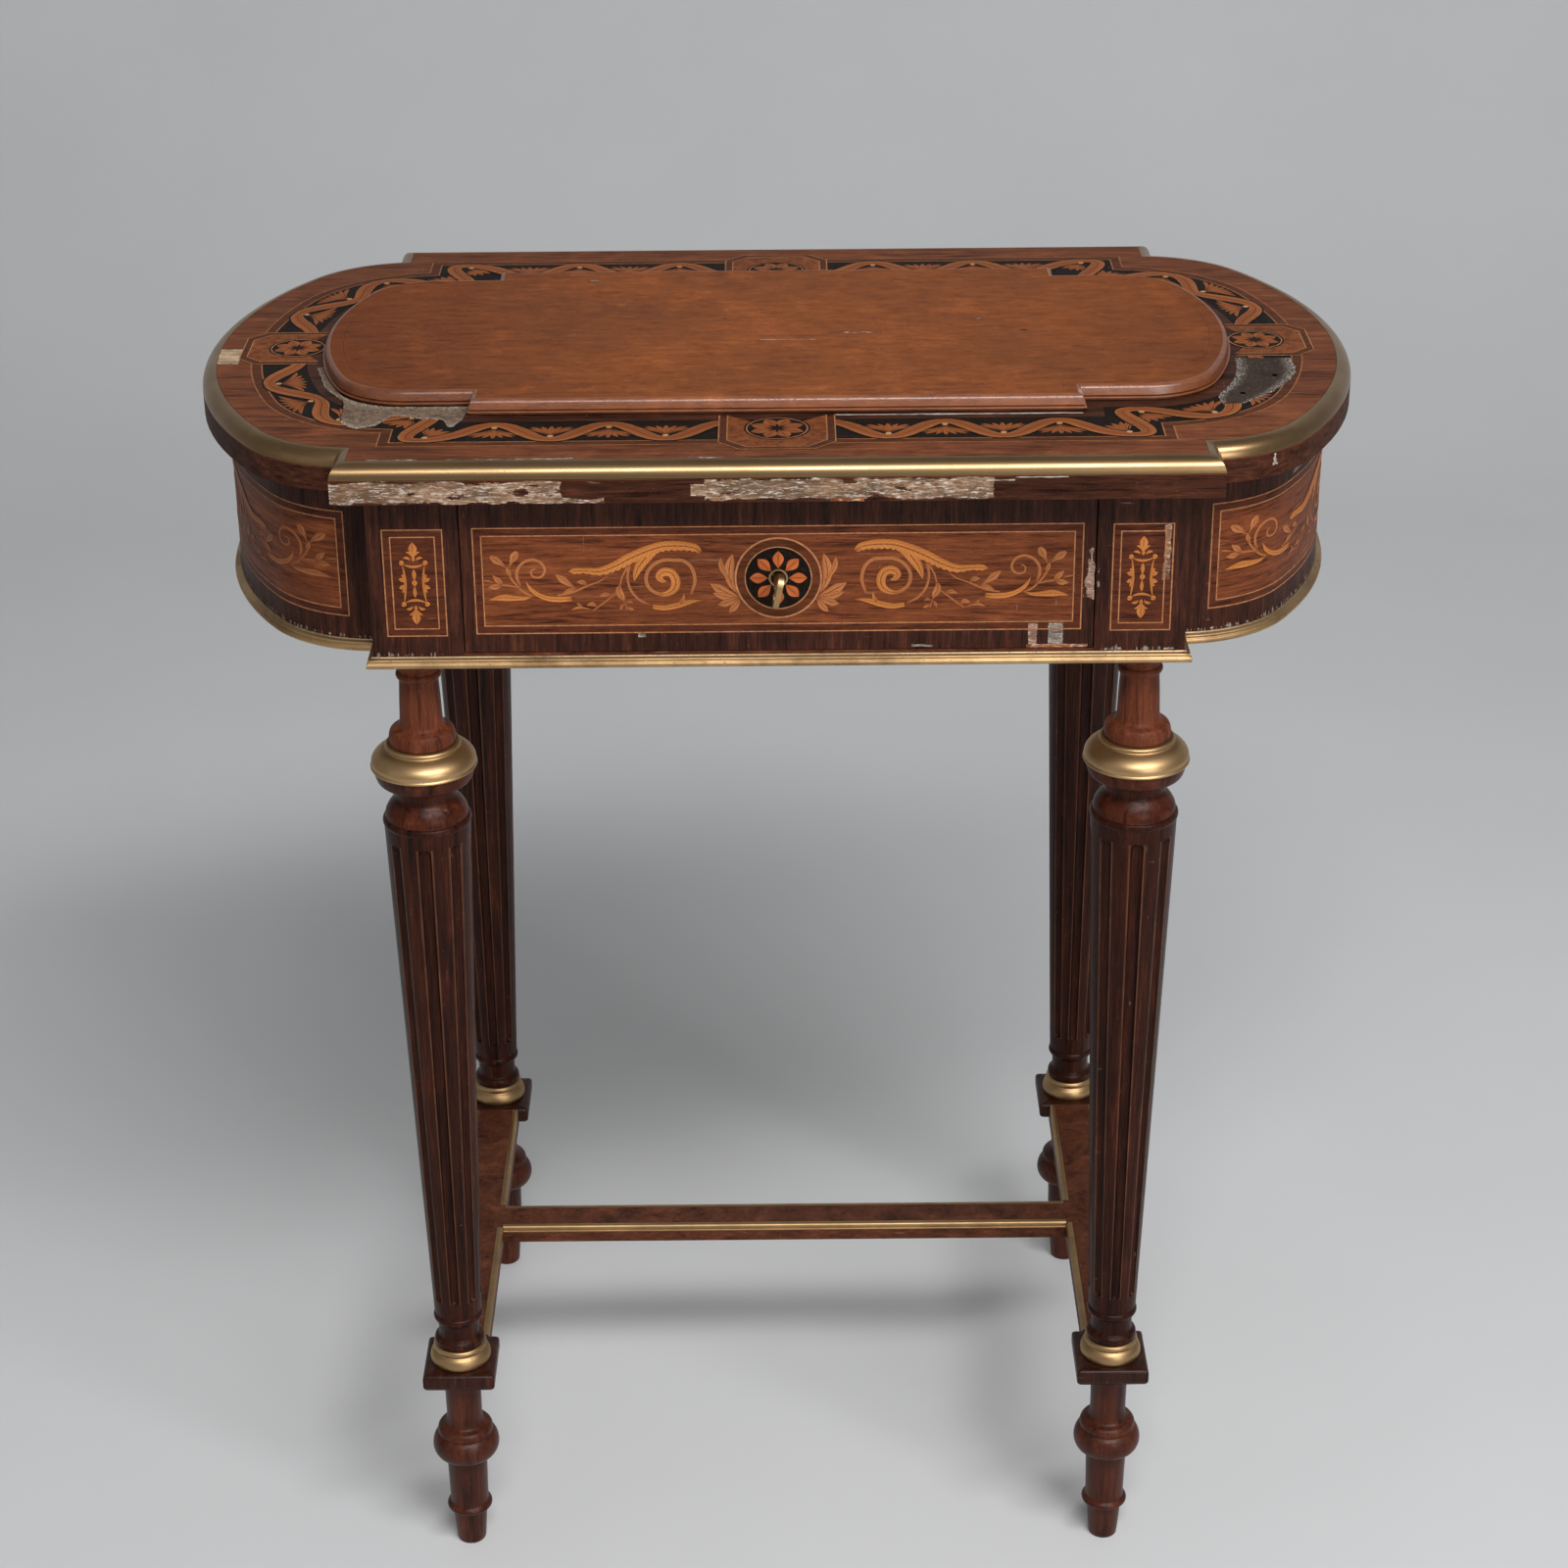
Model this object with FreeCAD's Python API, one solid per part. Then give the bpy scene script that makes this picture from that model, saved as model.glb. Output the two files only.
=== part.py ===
import FreeCAD, Part
import math
import os
from collections import namedtuple

# Breakfront dressing table on four fluted legs. Millimetres, +Z up, X to the right seen from the front,
# Y towards the back. The origin is on the floor, under the middle of the top.

V = FreeCAD.Vector
UP = V(0, 0, 1)

# A plan with a straight break at front and back, set-back wings and three-centre round ends.
# straight is the wing's straight run outside the break, negative where the round starts inside it,
# and reach is how far the round end runs beyond that.
Plan = namedtuple("Plan", "half_length half_depth wing_half straight reach corner")

# Fits
glue_gap = 0.1
running_gap = 0.4
pin_gap = 0.05
cut_overrun = 1.0

# Top
top_height = 740.0
top_thickness = 22.0
top_depth = 392.0
top_break_length = 475.0
top_step = 20.5
top_straight = -11.5
top_reach = 105.0
top_corner = 75.0
lip_radius = 8.5

# Belt under the top
top_overhang = 16.0
top_break_overhang = 15.5
belt_height = 101.0
belt_step = 25.0
belt_reach = 96.0
belt_corner = 70.0
post_width = 50.0
post_depth = 50.0
apron_thickness = 18.0
tenon_length = 12.0
tenon_thickness = 8.0
tenon_shoulder = 12.0
base_moulding_height = 8.0
base_moulding_projection = 4.0

# Lid over the dressing well
lid_margin = 76.5
lid_break_margin = 67.5
lid_step = 15.5
lid_straight = 35.0
lid_reach = 57.0
lid_corner = 45.0
lid_thickness = 8.5
lid_moulding_width = 12.0

# Dressing well
well_length = 410.0
well_side_margin = 34.5
well_depth = 54.0
well_wall = 8.0
well_floor_thickness = 6.0

# Mirror under the lid
mirror_frame_width = 14.0
mirror_frame_drop = 7.0
mirror_frame_clearance = 1.5
mirror_thickness = 3.0
mirror_rebate = 5.0

# Lid hinges
hinge_length = 40.0
hinge_offset = 110.0
leaf_width = 13.0
leaf_thickness = 1.4
knuckle_radius = 2.4
hinge_pin_radius = 1.2
hinge_middle_knuckle = 13.2

# Drawer
drawer_side_gap = 0.7
drawer_edge_gap = 0.5
drawer_front_thickness = 20.0
drawer_side_thickness = 10.0
drawer_back_thickness = 10.0
drawer_side_height = 50.0
drawer_back_room = 16.0
drawer_bottom_thickness = 6.0
drawer_bottom_groove = 5.0
drawer_bottom_lift = 6.0
drawer_tail_count = 3
drawer_tail_length = 12.0
drawer_tail_width = 9.0
drawer_tail_flare = 1.5
rail_depth = 38.0
rail_height = 8.0
rail_tenon_thickness = 4.0
runner_width = 27.0
runner_height = 9.0
guide_width = 6.0
guide_height = 18.0

# Lock and key
key_drop = 50.0
lock_width = 56.0
lock_height = 74.0
lock_thickness = 12.0
lock_wall = 1.5
bolt_width = 36.0
bolt_thickness = 4.0
bolt_throw = 7.0
bolt_mortise_room = 1.0
key_shank_radius = 2.4
key_bow_out = 19.5
key_bow_length = 13.0
key_bow_height = 20.0
key_bow_thickness = 3.0
key_bow_rim = 3.2
key_tilt_degrees = 12.0
cam_reach = 8.5
cam_width = 4.0
cam_thickness = 3.0
plug_radius = 3.8
tube_radius = 5.2
tube_wall = 1.0
tube_proud = 0.6

# Legs
leg_inset = 21.0
neck_length = 56.0
neck_radius = 19.0
upper_collar_height = 14.5
upper_collar_radius = 30.2
shaft_head_length = 43.5
shaft_head_radius = 29.0
shaft_foot_length = 34.0
shaft_foot_radius = 14.5
lower_collar_height = 13.0
lower_collar_radius = 18.6
block_side = 44.0
block_height = 12.0
block_ease = 2.0
foot_length = 127.0
foot_radius = 20.6
dowel_radius = 9.0
upper_dowel_length = 18.0
lower_dowel_length = 30.0
flute_count = 8
flute_top_radius = 4.3
flute_top_depth = 2.3
flute_bottom_radius = 2.7
flute_bottom_depth = 1.5
fluted_top_radius = 24.6
fluted_bottom_radius = 14.5

# Stretchers
side_stretcher_width = 31.0
cross_stretcher_width = 26.0
stretcher_thickness = 12.0
stretcher_tenon_length = 10.0
stretcher_tenon_width = 18.0
stretcher_tenon_thickness = 6.0
strip_width = 4.0
strip_height = 4.5

# Turned outlines, from the lower end up: radius share, height share and bulge share. A bulge is the
# arc's rise over half its chord on the way to that point, outward if positive.
neck_shares = [
    (0.0, 0.0, 0.0),
    (1.0, 0.0, 0.0),
    (1.0, 0.06, 0.0),
    (0.62, 0.24, 0.0),
    (0.62, 1.0, 0.0),
    (0.0, 1.0, 0.0),
]
shaft_foot_shares = [
    (0.0, 0.0, 0.0),
    (0.86, 0.0, 0.0),
    (0.86, 0.5, 0.0),
    (1.0, 0.5, 0.0),
    (1.0, 1.0, 0.0),
    (0.0, 1.0, 0.0),
]
shaft_head_shares = [
    (0.0, 0.0, 0.0),
    (0.85, 0.0, 0.0),
    (0.85, 0.2, 0.0),
    (0.59, 0.5, 0.0),
    (0.86, 0.78, 0.0),
    (1.0, 1.0, 0.0),
    (0.0, 1.0, 0.0),
]
foot_shares = [
    (0.0, 0.0, 0.0),
    (0.48, 0.0, 0.0),
    (0.48, 0.19, 0.0),
    (0.67, 0.19, 0.0),
    (0.67, 0.23, 0.0),
    (0.58, 0.23, 0.0),
    (0.58, 0.52, 0.0),
    (1.0, 0.58, 0.0),
    (0.55, 0.70, 0.0),
    (0.55, 1.0, 0.0),
    (0.0, 1.0, 0.0),
]
upper_collar_shares = [
    (0.0, 0.0, 0.0),
    (1.0, 0.0, 0.0),
    (0.68, 1.0, 0.0),
    (0.0, 1.0, 0.0),
]
lower_collar_shares = [
    (0.0, 0.0, 0.0),
    (1.0, 0.0, 0.0),
    (0.78, 1.0, 0.0),
    (0.0, 1.0, 0.0),
]

# Edge sections in the same form: outward share, height share and bulge share.
lip_shares = [(-1.0, 0.0, 0.0), (0.0, 0.0, 0.0), (-0.29, 0.71, 0.0), (-1.0, 1.0, 0.0)]
base_moulding_shares = [(0.0, 0.0, 0.0), (1.0, 0.0, 0.0), (1.0, 0.5, 0.0), (0.0, 1.0, 0.0)]
lid_moulding_shares = [
    (-1.0, 0.0, 0.0),
    (0.0, 0.0, 0.0),
    (-0.1, 0.4, 0.0),
    (-0.6, 0.9, 0.0),
    (-1.0, 0.9, 0.0),
]
strip_shares = [(0.0, 0.0, 0.0), (1.0, 0.0, 0.0), (1.0, 0.6, 0.0), (0.6, 1.0, 0.3), (0.0, 1.0, 0.0)]

# Heights and planes worked out from the sizes above
belt_top = top_height - top_thickness
belt_bottom = belt_top - belt_height
neck_bottom = belt_bottom - neck_length
shaft_top = neck_bottom - upper_collar_height
block_bottom = foot_length
block_top = block_bottom + block_height
shaft_bottom = block_top + lower_collar_height
lip_bottom = top_height - lip_radius
belt_depth = top_depth - 2 * top_overhang
belt_break_length = top_break_length - 2 * top_break_overhang
lid_depth = top_depth - 2 * lid_margin
lid_break_length = top_break_length - 2 * lid_break_margin
post_x = belt_break_length / 2 - post_width
post_y = belt_depth / 2 - post_depth
belt_front = -belt_depth / 2
leg_x = belt_break_length / 2 - leg_inset
leg_y = post_y + post_depth / 2
rail_top = belt_bottom + rail_height
runner_top = belt_bottom + runner_height
well_floor_top = top_height - well_depth
well_width = lid_depth - 2 * well_side_margin
lid_bottom = top_height + running_gap
lid_top = lid_bottom + lid_thickness
hinge_y = lid_depth / 2 + knuckle_radius + running_gap
hinge_z = (top_height + lid_bottom) / 2
key_z = belt_top - key_drop
dowel_bore = dowel_radius + glue_gap

top_plan = Plan(
    top_break_length / 2, top_depth / 2, top_depth / 2 - top_step, top_straight, top_reach, top_corner
)
belt_plan = Plan(
    belt_break_length / 2, belt_depth / 2, belt_depth / 2 - belt_step, 0, belt_reach, belt_corner
)
lid_plan = Plan(
    lid_break_length / 2, lid_depth / 2, lid_depth / 2 - lid_step, lid_straight, lid_reach, lid_corner
)

nodes = {}


# Basic solids


def box(x, y, z):
    """Block between the two values given for each axis."""
    low = V(min(x), min(y), min(z))
    high = V(max(x), max(y), max(z))
    size = high - low
    return Part.makeBox(size.x, size.y, size.z, low)


def rod(radius, z, x=0, y=0):
    """Upright cylinder between two heights."""
    return Part.makeCylinder(radius, z[1] - z[0], V(x, y, z[0]))


def rod_x(radius, x, y, z):
    """Cylinder along X."""
    return Part.makeCylinder(radius, x[1] - x[0], V(x[0], y, z), V(1, 0, 0))


def rod_y(radius, y, x, z):
    """Cylinder along Y."""
    return Part.makeCylinder(radius, y[1] - y[0], V(x, y[0], z), V(0, 1, 0))


def prism(points, z):
    """Plan polygon of (x, y) points between two heights."""
    corners = [V(x, y, z[0]) for x, y in points]
    return Part.Face(Part.makePolygon(corners + corners[:1])).extrude(UP * (z[1] - z[0]))


def grown(span, room):
    """A span made longer by room at both ends."""
    return (min(span) - room, max(span) + room)


def about(middle, size):
    """The span of that size about its middle."""
    return (middle - size / 2, middle + size / 2)


def mirrored_x(shape):
    return shape.mirror(V(0, 0, 0), V(1, 0, 0))


def mirrored_y(shape):
    return shape.mirror(V(0, 0, 0), V(0, 1, 0))


def joined(shapes):
    """One solid from shapes that meet or overlap."""
    return shapes[0].multiFuse(shapes[1:]).removeSplitter()


def section(shares, width, height, origin, outward):
    """Upright face of outward, height and bulge shares that stands at origin."""
    points = [origin + outward * (o * width) + UP * (z * height) for o, z, bulge in shares]
    edges = []
    for start, end, (o, z, bulge) in zip(points, points[1:], shares[1:]):
        if bulge:
            chord = end - start
            side = outward * chord.z - UP * chord.dot(outward)
            middle = (start + end) / 2 + side * (bulge / 2)
            edges.append(Part.Arc(start, middle, end).toShape())
        else:
            edges.append(Part.LineSegment(start, end).toShape())
    edges.append(Part.LineSegment(points[-1], points[0]).toShape())
    return Part.Face(Part.Wire(edges))


def turned(shares, radius, height, base):
    """Section turned round the Z axis and stood on base."""
    return section(shares, radius, height, UP * base, V(1, 0, 0)).revolve(V(0, 0, 0), UP, 360)


# Breakfront plan with round ends


class RoundEnd:
    """Centres, radii and directions of the three tangent arcs that close the right end of a plan."""

    def __init__(self, plan):
        rise = plan.wing_half - plan.corner
        self.start_x = plan.half_length + plan.straight
        self.tip_x = self.start_x + plan.reach
        spread = plan.reach**2 + rise**2 - plan.corner**2
        self.radius = spread / (2 * (plan.reach - plan.corner))
        self.centre = V(self.tip_x - self.radius, 0, 0)
        self.corner_centre = V(self.start_x, rise, 0)
        self.towards = (self.corner_centre - self.centre).normalize()
        self.angle = math.degrees(math.atan2(self.towards.y, self.towards.x))

    def wing_y(self, plan, inset, x):
        """Half depth of the wing, drawn in by inset, at x."""
        if x <= self.start_x:
            return plan.wing_half - inset
        return self.corner_centre.y + math.sqrt((plan.corner - inset) ** 2 - (x - self.start_x) ** 2)


def plan_face(plan, inset, z):
    """Flat outline at height z, drawn in by inset."""
    end = RoundEnd(plan)
    side = plan.half_length - inset
    wing = end.wing_y(plan, inset, side)
    first = V(max(side, end.start_x), wing, 0)
    last = end.centre + end.towards * (end.radius - inset)
    halfway = (first - end.corner_centre).normalize() + end.towards
    middle = end.corner_centre + halfway.normalize() * (plan.corner - inset)
    tip = V(end.tip_x - inset, 0, 0)
    quarter = [V(side, plan.half_depth - inset, 0), V(side, wing, 0), first, middle, last]
    edges = []

    def placed(point, x_sign, y_sign):
        return V(point.x * x_sign, point.y * y_sign, z)

    def line(start, stop):
        if not start.isEqual(stop, 0):
            edges.append(Part.LineSegment(start, stop).toShape())

    # Right half from front to back, then the left half from back to front.
    for sign in (1, -1):
        outward = [placed(point, sign, -sign) for point in quarter]
        inward = [placed(point, sign, sign) for point in quarter]
        line(placed(quarter[0], -sign, -sign), outward[0])
        line(outward[0], outward[1])
        line(outward[1], outward[2])
        edges.append(Part.Arc(outward[2], outward[3], outward[4]).toShape())
        edges.append(Part.Arc(outward[4], placed(tip, sign, 0), inward[4]).toShape())
        edges.append(Part.Arc(inward[4], inward[3], inward[2]).toShape())
        line(inward[2], inward[1])
        line(inward[1], inward[0])
    return Part.Face(Part.Wire(edges))


def plan_slab(plan, inset, z):
    """Board of the plan's outline between two heights."""
    return plan_face(plan, inset, z[0]).extrude(UP * (z[1] - z[0]))


def plan_edging(plan, shares, width, height, base, room=0):
    """Front, back, left and right lengths of a moulding round a plan, mitred at every corner.

    room is the glue line between the plan and the moulding.
    """
    end = RoundEnd(plan)
    side = plan.half_length
    front = plan.half_depth
    wing = end.wing_y(plan, 0, side)
    reach = width + plan.half_depth - wing
    z = grown((base, base + height), cut_overrun)
    # Mitre at the corner between break and wing, from inside to outside.
    mitre = [
        (side - width, -end.wing_y(plan, width, side - width)),
        (side, -wing),
        (side + width, -end.wing_y(plan, -width, side + width)),
    ]

    def bar(start, run, outward):
        """Straight length from start along run."""
        return section(shares, width, height, start + outward * room + UP * base, outward).extrude(run)

    def bend(centre, radius, start, sweep):
        """Round length about centre, from the angle start through sweep."""
        outward = V(math.cos(math.radians(start)), math.sin(math.radians(start)), 0)
        foot = centre + outward * (radius + room) + UP * base
        return section(shares, width, height, foot, outward).revolve(centre, UP, sweep)

    long_bar = bar(V(-side - reach, -front, 0), V(2 * (side + reach), 0, 0), V(0, -1, 0))
    long_bar = long_bar.common(
        prism(
            [
                (-side - reach, -front - reach),
                (side + reach, -front - reach),
                (side - width, -front + width),
                (-side + width, -front + width),
            ],
            z,
        )
    )
    short_bar = bar(V(side, -front - reach, 0), V(0, front + reach, 0), V(1, 0, 0))
    short_bar = short_bar.common(
        prism(
            [
                (side - width, -front + width),
                *mitre,
                (side + reach, -front - reach),
            ],
            z,
        )
    )
    front_length = joined([long_bar, short_bar, mirrored_x(short_bar)])
    start_corner = V(end.start_x, -end.corner_centre.y, 0)
    lengths = [
        bend(start_corner, plan.corner, -90, 90 - end.angle),
        bend(end.centre, end.radius, -end.angle, 2 * end.angle),
        bend(end.corner_centre, plan.corner, end.angle, 90 - end.angle),
    ]
    if plan.straight > 0:
        for y_sign in (-1, 1):
            start = V(side - width, y_sign * plan.wing_half, 0)
            lengths.append(bar(start, V(plan.straight + width, 0, 0), V(0, y_sign, 0)))
    far = end.tip_x + reach
    end_zone = prism(
        [
            *mitre,
            (far, mitre[-1][1]),
            (far, -mitre[-1][1]),
            *[(x, -y) for x, y in reversed(mitre)],
        ],
        z,
    )
    right_length = joined(lengths).common(end_zone)
    return {
        "front": front_length,
        "back": mirrored_y(front_length),
        "left": mirrored_x(right_length),
        "right": right_length,
    }


# Top, with its brass lip


def bolt_mortise():
    """Pocket in the underside of the top that the drawer's bolt rises into."""
    x = grown(about(0, bolt_width), bolt_mortise_room)
    y = grown(bolt_y, bolt_mortise_room)
    return box(x, y, (belt_top - cut_overrun, belt_top + bolt_throw + bolt_mortise_room))


def top_board():
    """Veneered board, rebated for the lip and open over the dressing well."""
    board = joined(
        [
            plan_slab(top_plan, 0, (belt_top, lip_bottom)),
            plan_slab(top_plan, lip_radius + glue_gap, (lip_bottom, top_height)),
        ]
    )
    well = box(
        about(0, well_length), about(0, well_width), grown((belt_top, top_height), cut_overrun)
    )
    return board.cut(well).cut(bolt_mortise()).cut(Part.makeCompound(hinge_seats()))


# Belt: corner posts with the turned neck of the leg, aprons, rail and mouldings


def apron_tenon(x, y, room=0):
    """Tenon of an apron along X into a post."""
    height = grown((belt_bottom, belt_top), -tenon_shoulder)
    return box(grown(x, room), grown(y, room), grown(height, room))


end_apron_y = (belt_plan.wing_half - apron_thickness, belt_plan.wing_half)
end_tenon_y = about(sum(end_apron_y) / 2, tenon_thickness)
end_tenon_x = (belt_plan.half_length - tenon_length, belt_plan.half_length)
back_apron_y = (belt_depth / 2 - apron_thickness, belt_depth / 2)
back_tenon_y = about(sum(back_apron_y) / 2, tenon_thickness)
back_tenon_x = (post_x, post_x + tenon_length)
rail_y = (belt_front, belt_front + rail_depth)
rail_tenon_y = grown(rail_y, -tenon_shoulder)
rail_tenon_z = about(belt_bottom + rail_height / 2, rail_tenon_thickness)


def post(is_front):
    """Right-hand post, square in the belt and turned below it, bored for the shaft's dowel."""
    square = box(
        (post_x, belt_plan.half_length), (post_y, belt_plan.half_depth), (belt_bottom, belt_top)
    )
    neck = turned(neck_shares, neck_radius, neck_length, neck_bottom).translated(V(leg_x, leg_y, 0))
    solid = joined([square, neck])
    bore = (neck_bottom - cut_overrun, neck_bottom + upper_dowel_length + glue_gap)
    solid = solid.cut(rod(dowel_bore, bore, leg_x, leg_y))
    solid = solid.cut(apron_tenon(end_tenon_x, end_tenon_y, glue_gap))
    if not is_front:
        return solid.cut(apron_tenon(back_tenon_x, back_tenon_y, glue_gap))
    solid = mirrored_y(solid)
    return solid.cut(
        box(grown(back_tenon_x, glue_gap), grown(rail_tenon_y, glue_gap), grown(rail_tenon_z, glue_gap))
    )


def end_apron():
    """Right-hand bent apron between the two posts."""
    z = (belt_bottom, belt_top)
    end = RoundEnd(belt_plan)
    ring = plan_slab(belt_plan, 0, z).cut(plan_slab(belt_plan, apron_thickness, grown(z, cut_overrun)))
    outside = box((belt_plan.half_length, end.tip_x), about(0, 2 * belt_plan.wing_half), z)
    tenon = apron_tenon(end_tenon_x, end_tenon_y)
    return joined([ring.common(outside), tenon, mirrored_y(tenon)])


def back_apron():
    board = box((-post_x, post_x), back_apron_y, (belt_bottom, belt_top))
    tenon = apron_tenon(back_tenon_x, back_tenon_y)
    return joined([board, tenon, mirrored_x(tenon)])


def front_rail():
    """Thin rail under the drawer."""
    rail = box((-post_x, post_x), rail_y, (belt_bottom, rail_top))
    tenon = box(back_tenon_x, rail_tenon_y, rail_tenon_z)
    return joined([rail, tenon, mirrored_x(tenon)])


def runner():
    """Right-hand drawer runner with its guide."""
    y = (rail_y[1], back_apron_y[0])
    foot = box((post_x - runner_width, post_x), y, (belt_bottom, runner_top))
    guide = box((post_x - guide_width, post_x), y, (runner_top, runner_top + guide_height))
    return joined([foot, guide])


# Dressing well under the lid


def well_pieces():
    """Two long walls, two end walls and the floor."""
    z = (well_floor_top, belt_top)
    length = about(0, well_length + 2 * well_wall)
    side = (well_width / 2, well_width / 2 + well_wall)
    end = (well_length / 2, well_length / 2 + well_wall)
    back = box(length, side, z)
    right = box(end, about(0, well_width), z)
    floor_z = (well_floor_top - well_floor_thickness, well_floor_top)
    return {
        "well_wall_back": back,
        "well_wall_front": mirrored_y(back),
        "well_wall_right": right,
        "well_wall_left": mirrored_x(right),
        "well_floor": box(length, about(0, well_width + 2 * well_wall), floor_z),
    }


# Lid, mirror and hinges


def mirror_and_frame():
    """Mirror glass in a rebated frame that drops into the well's mouth."""
    length = well_length - 2 * mirror_frame_clearance
    width = well_width - 2 * mirror_frame_clearance
    z = (lid_bottom - mirror_frame_drop, lid_bottom)
    sight_length = length - 2 * mirror_frame_width
    sight_width = width - 2 * mirror_frame_width
    glass_z = (lid_bottom - mirror_thickness, lid_bottom)
    glass_x = grown(about(0, sight_length), mirror_rebate)
    glass_y = grown(about(0, sight_width), mirror_rebate)
    glass = box(glass_x, glass_y, glass_z)
    frame = box(about(0, length), about(0, width), z)
    frame = frame.cut(box(about(0, sight_length), about(0, sight_width), grown(z, cut_overrun)))
    room_z = (glass_z[0], lid_bottom + cut_overrun)
    frame = frame.cut(box(grown(glass_x, glue_gap), grown(glass_y, glue_gap), room_z))
    return glass, frame


def leaf_span(x):
    return about(x, hinge_length)


def lid_leaf(x, room=0):
    """Hinge leaf let into the underside of the lid, with the middle knuckle."""
    plate_y = (hinge_y - leaf_width, hinge_y - knuckle_radius - running_gap)
    plate_z = (lid_bottom, lid_bottom + leaf_thickness)
    plate = box(grown(leaf_span(x), room), grown(plate_y, room), grown(plate_z, room))
    if room:
        return plate
    middle = about(x, hinge_middle_knuckle)
    neck = box(middle, (plate_y[1], hinge_y), plate_z)
    leaf = joined([plate, neck, rod_x(knuckle_radius, middle, hinge_y, hinge_z)])
    return leaf.cut(rod_x(hinge_pin_radius + pin_gap, grown(middle, cut_overrun), hinge_y, hinge_z))


def fixed_leaf(x, room=0):
    """Hinge leaf let into the top, with the two outer knuckles and the pin riveted through them."""
    plate_y = (hinge_y - leaf_width, hinge_y - knuckle_radius - running_gap)
    plate_z = (top_height - leaf_thickness, top_height)
    span = leaf_span(x)
    if room:
        trench_y = grown(about(hinge_y, 2 * knuckle_radius), running_gap)
        trench_z = (hinge_z - knuckle_radius - running_gap, top_height + cut_overrun)
        plate = box(grown(span, room), grown(plate_y, room), (plate_z[0] - room, top_height + cut_overrun))
        return joined([plate, box(grown(span, room), trench_y, trench_z)])
    middle = grown(about(x, hinge_middle_knuckle), running_gap)
    pieces = [box(span, plate_y, plate_z)]
    for part_span in ((span[0], middle[0]), (middle[1], span[1])):
        pieces.append(box(part_span, (plate_y[1], hinge_y), plate_z))
        pieces.append(rod_x(knuckle_radius, part_span, hinge_y, hinge_z))
    pieces.append(rod_x(hinge_pin_radius, span, hinge_y, hinge_z))
    return joined(pieces)


hinge_places = (-hinge_offset, hinge_offset)


def hinge_seats():
    return [fixed_leaf(x, glue_gap) for x in hinge_places]


def lid_mouldings():
    """Ovolo edging of the lid. The back length is let in for the hinge leaves."""
    lengths = plan_edging(
        lid_plan, lid_moulding_shares, lid_moulding_width, lid_thickness, lid_bottom
    )
    seats = Part.makeCompound([lid_leaf(x, glue_gap) for x in hinge_places])
    lengths["back"] = lengths["back"].cut(seats)
    return lengths


# Drawer

side_x = (
    post_x - guide_width - running_gap - drawer_side_thickness,
    post_x - guide_width - running_gap,
)
drawer_front_y = (belt_front, belt_front + drawer_front_thickness)
drawer_back_end = back_apron_y[0] - drawer_back_room
side_z = (runner_top + running_gap, runner_top + running_gap + drawer_side_height)
bottom_z = (
    side_z[0] + drawer_bottom_lift,
    side_z[0] + drawer_bottom_lift + drawer_bottom_thickness,
)
drawer_front_z = (rail_top + drawer_edge_gap, belt_top - drawer_edge_gap)
lock_z = (drawer_front_z[1] - lock_height, drawer_front_z[1])
lock_y = (
    drawer_front_y[1] - lock_thickness * 2 / 3,
    drawer_front_y[1] + lock_thickness / 3,
)
lock_inside_y = grown(lock_y, -lock_wall)
bolt_y = about(sum(lock_y) / 2, bolt_thickness)
bottom_board_x = grown((-side_x[0], side_x[0]), drawer_bottom_groove - glue_gap)
bottom_board_y = (drawer_front_y[1] - drawer_bottom_groove + glue_gap, drawer_back_end)


def drawer_tails(room=0):
    """Lapped dovetails at the front end of the right-hand side."""
    pitch = drawer_side_height / drawer_tail_count
    shoulder, tip = drawer_front_y[1], drawer_front_y[1] - drawer_tail_length
    tails = []
    for number in range(drawer_tail_count):
        middle = side_z[0] + pitch * (number + 1 / 2)
        narrow = drawer_tail_width / 2 + room
        wide = narrow + drawer_tail_flare
        corners = [
            V(side_x[0] - room, shoulder, middle - narrow),
            V(side_x[0] - room, tip - room, middle - wide),
            V(side_x[0] - room, tip - room, middle + wide),
            V(side_x[0] - room, shoulder, middle + narrow),
        ]
        across = V(drawer_side_thickness + 2 * room, 0, 0)
        tails.append(Part.Face(Part.makePolygon(corners + corners[:1])).extrude(across))
    return tails


def drawer_front():
    """Flush front with sockets for the dovetails, the bottom's groove and the lock."""
    x = grown((-post_x, post_x), -drawer_side_gap)
    front = box(x, drawer_front_y, drawer_front_z)
    sockets = drawer_tails(glue_gap)
    sockets += [mirrored_x(tail) for tail in sockets]
    groove_y = (drawer_front_y[1] - drawer_bottom_groove, drawer_front_y[1] + cut_overrun)
    sockets.append(box(grown(bottom_board_x, glue_gap), groove_y, grown(bottom_z, glue_gap)))
    lock_room_z = (lock_z[0] - glue_gap, lock_z[1] + cut_overrun)
    lock_room_y = (lock_y[0] - glue_gap, drawer_front_y[1] + cut_overrun)
    sockets.append(box(grown(about(0, lock_width), glue_gap), lock_room_y, lock_room_z))
    sockets.append(rod_y(tube_radius + glue_gap, grown(drawer_front_y, cut_overrun), 0, key_z))
    for socket in sockets:
        front = front.cut(socket)
    return front


def drawer_side():
    """Right-hand side, grooved for the bottom."""
    board = box(side_x, (drawer_front_y[1], drawer_back_end), side_z)
    groove_x = (side_x[0] - cut_overrun, side_x[0] + drawer_bottom_groove)
    groove_y = grown((drawer_front_y[1] - drawer_tail_length, drawer_back_end), cut_overrun)
    groove = box(groove_x, groove_y, grown(bottom_z, glue_gap))
    return joined([board] + drawer_tails()).cut(groove)


def drawer_back():
    y = (drawer_back_end - drawer_back_thickness, drawer_back_end)
    return box((-side_x[0], side_x[0]), y, (bottom_z[1], side_z[1]))


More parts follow.
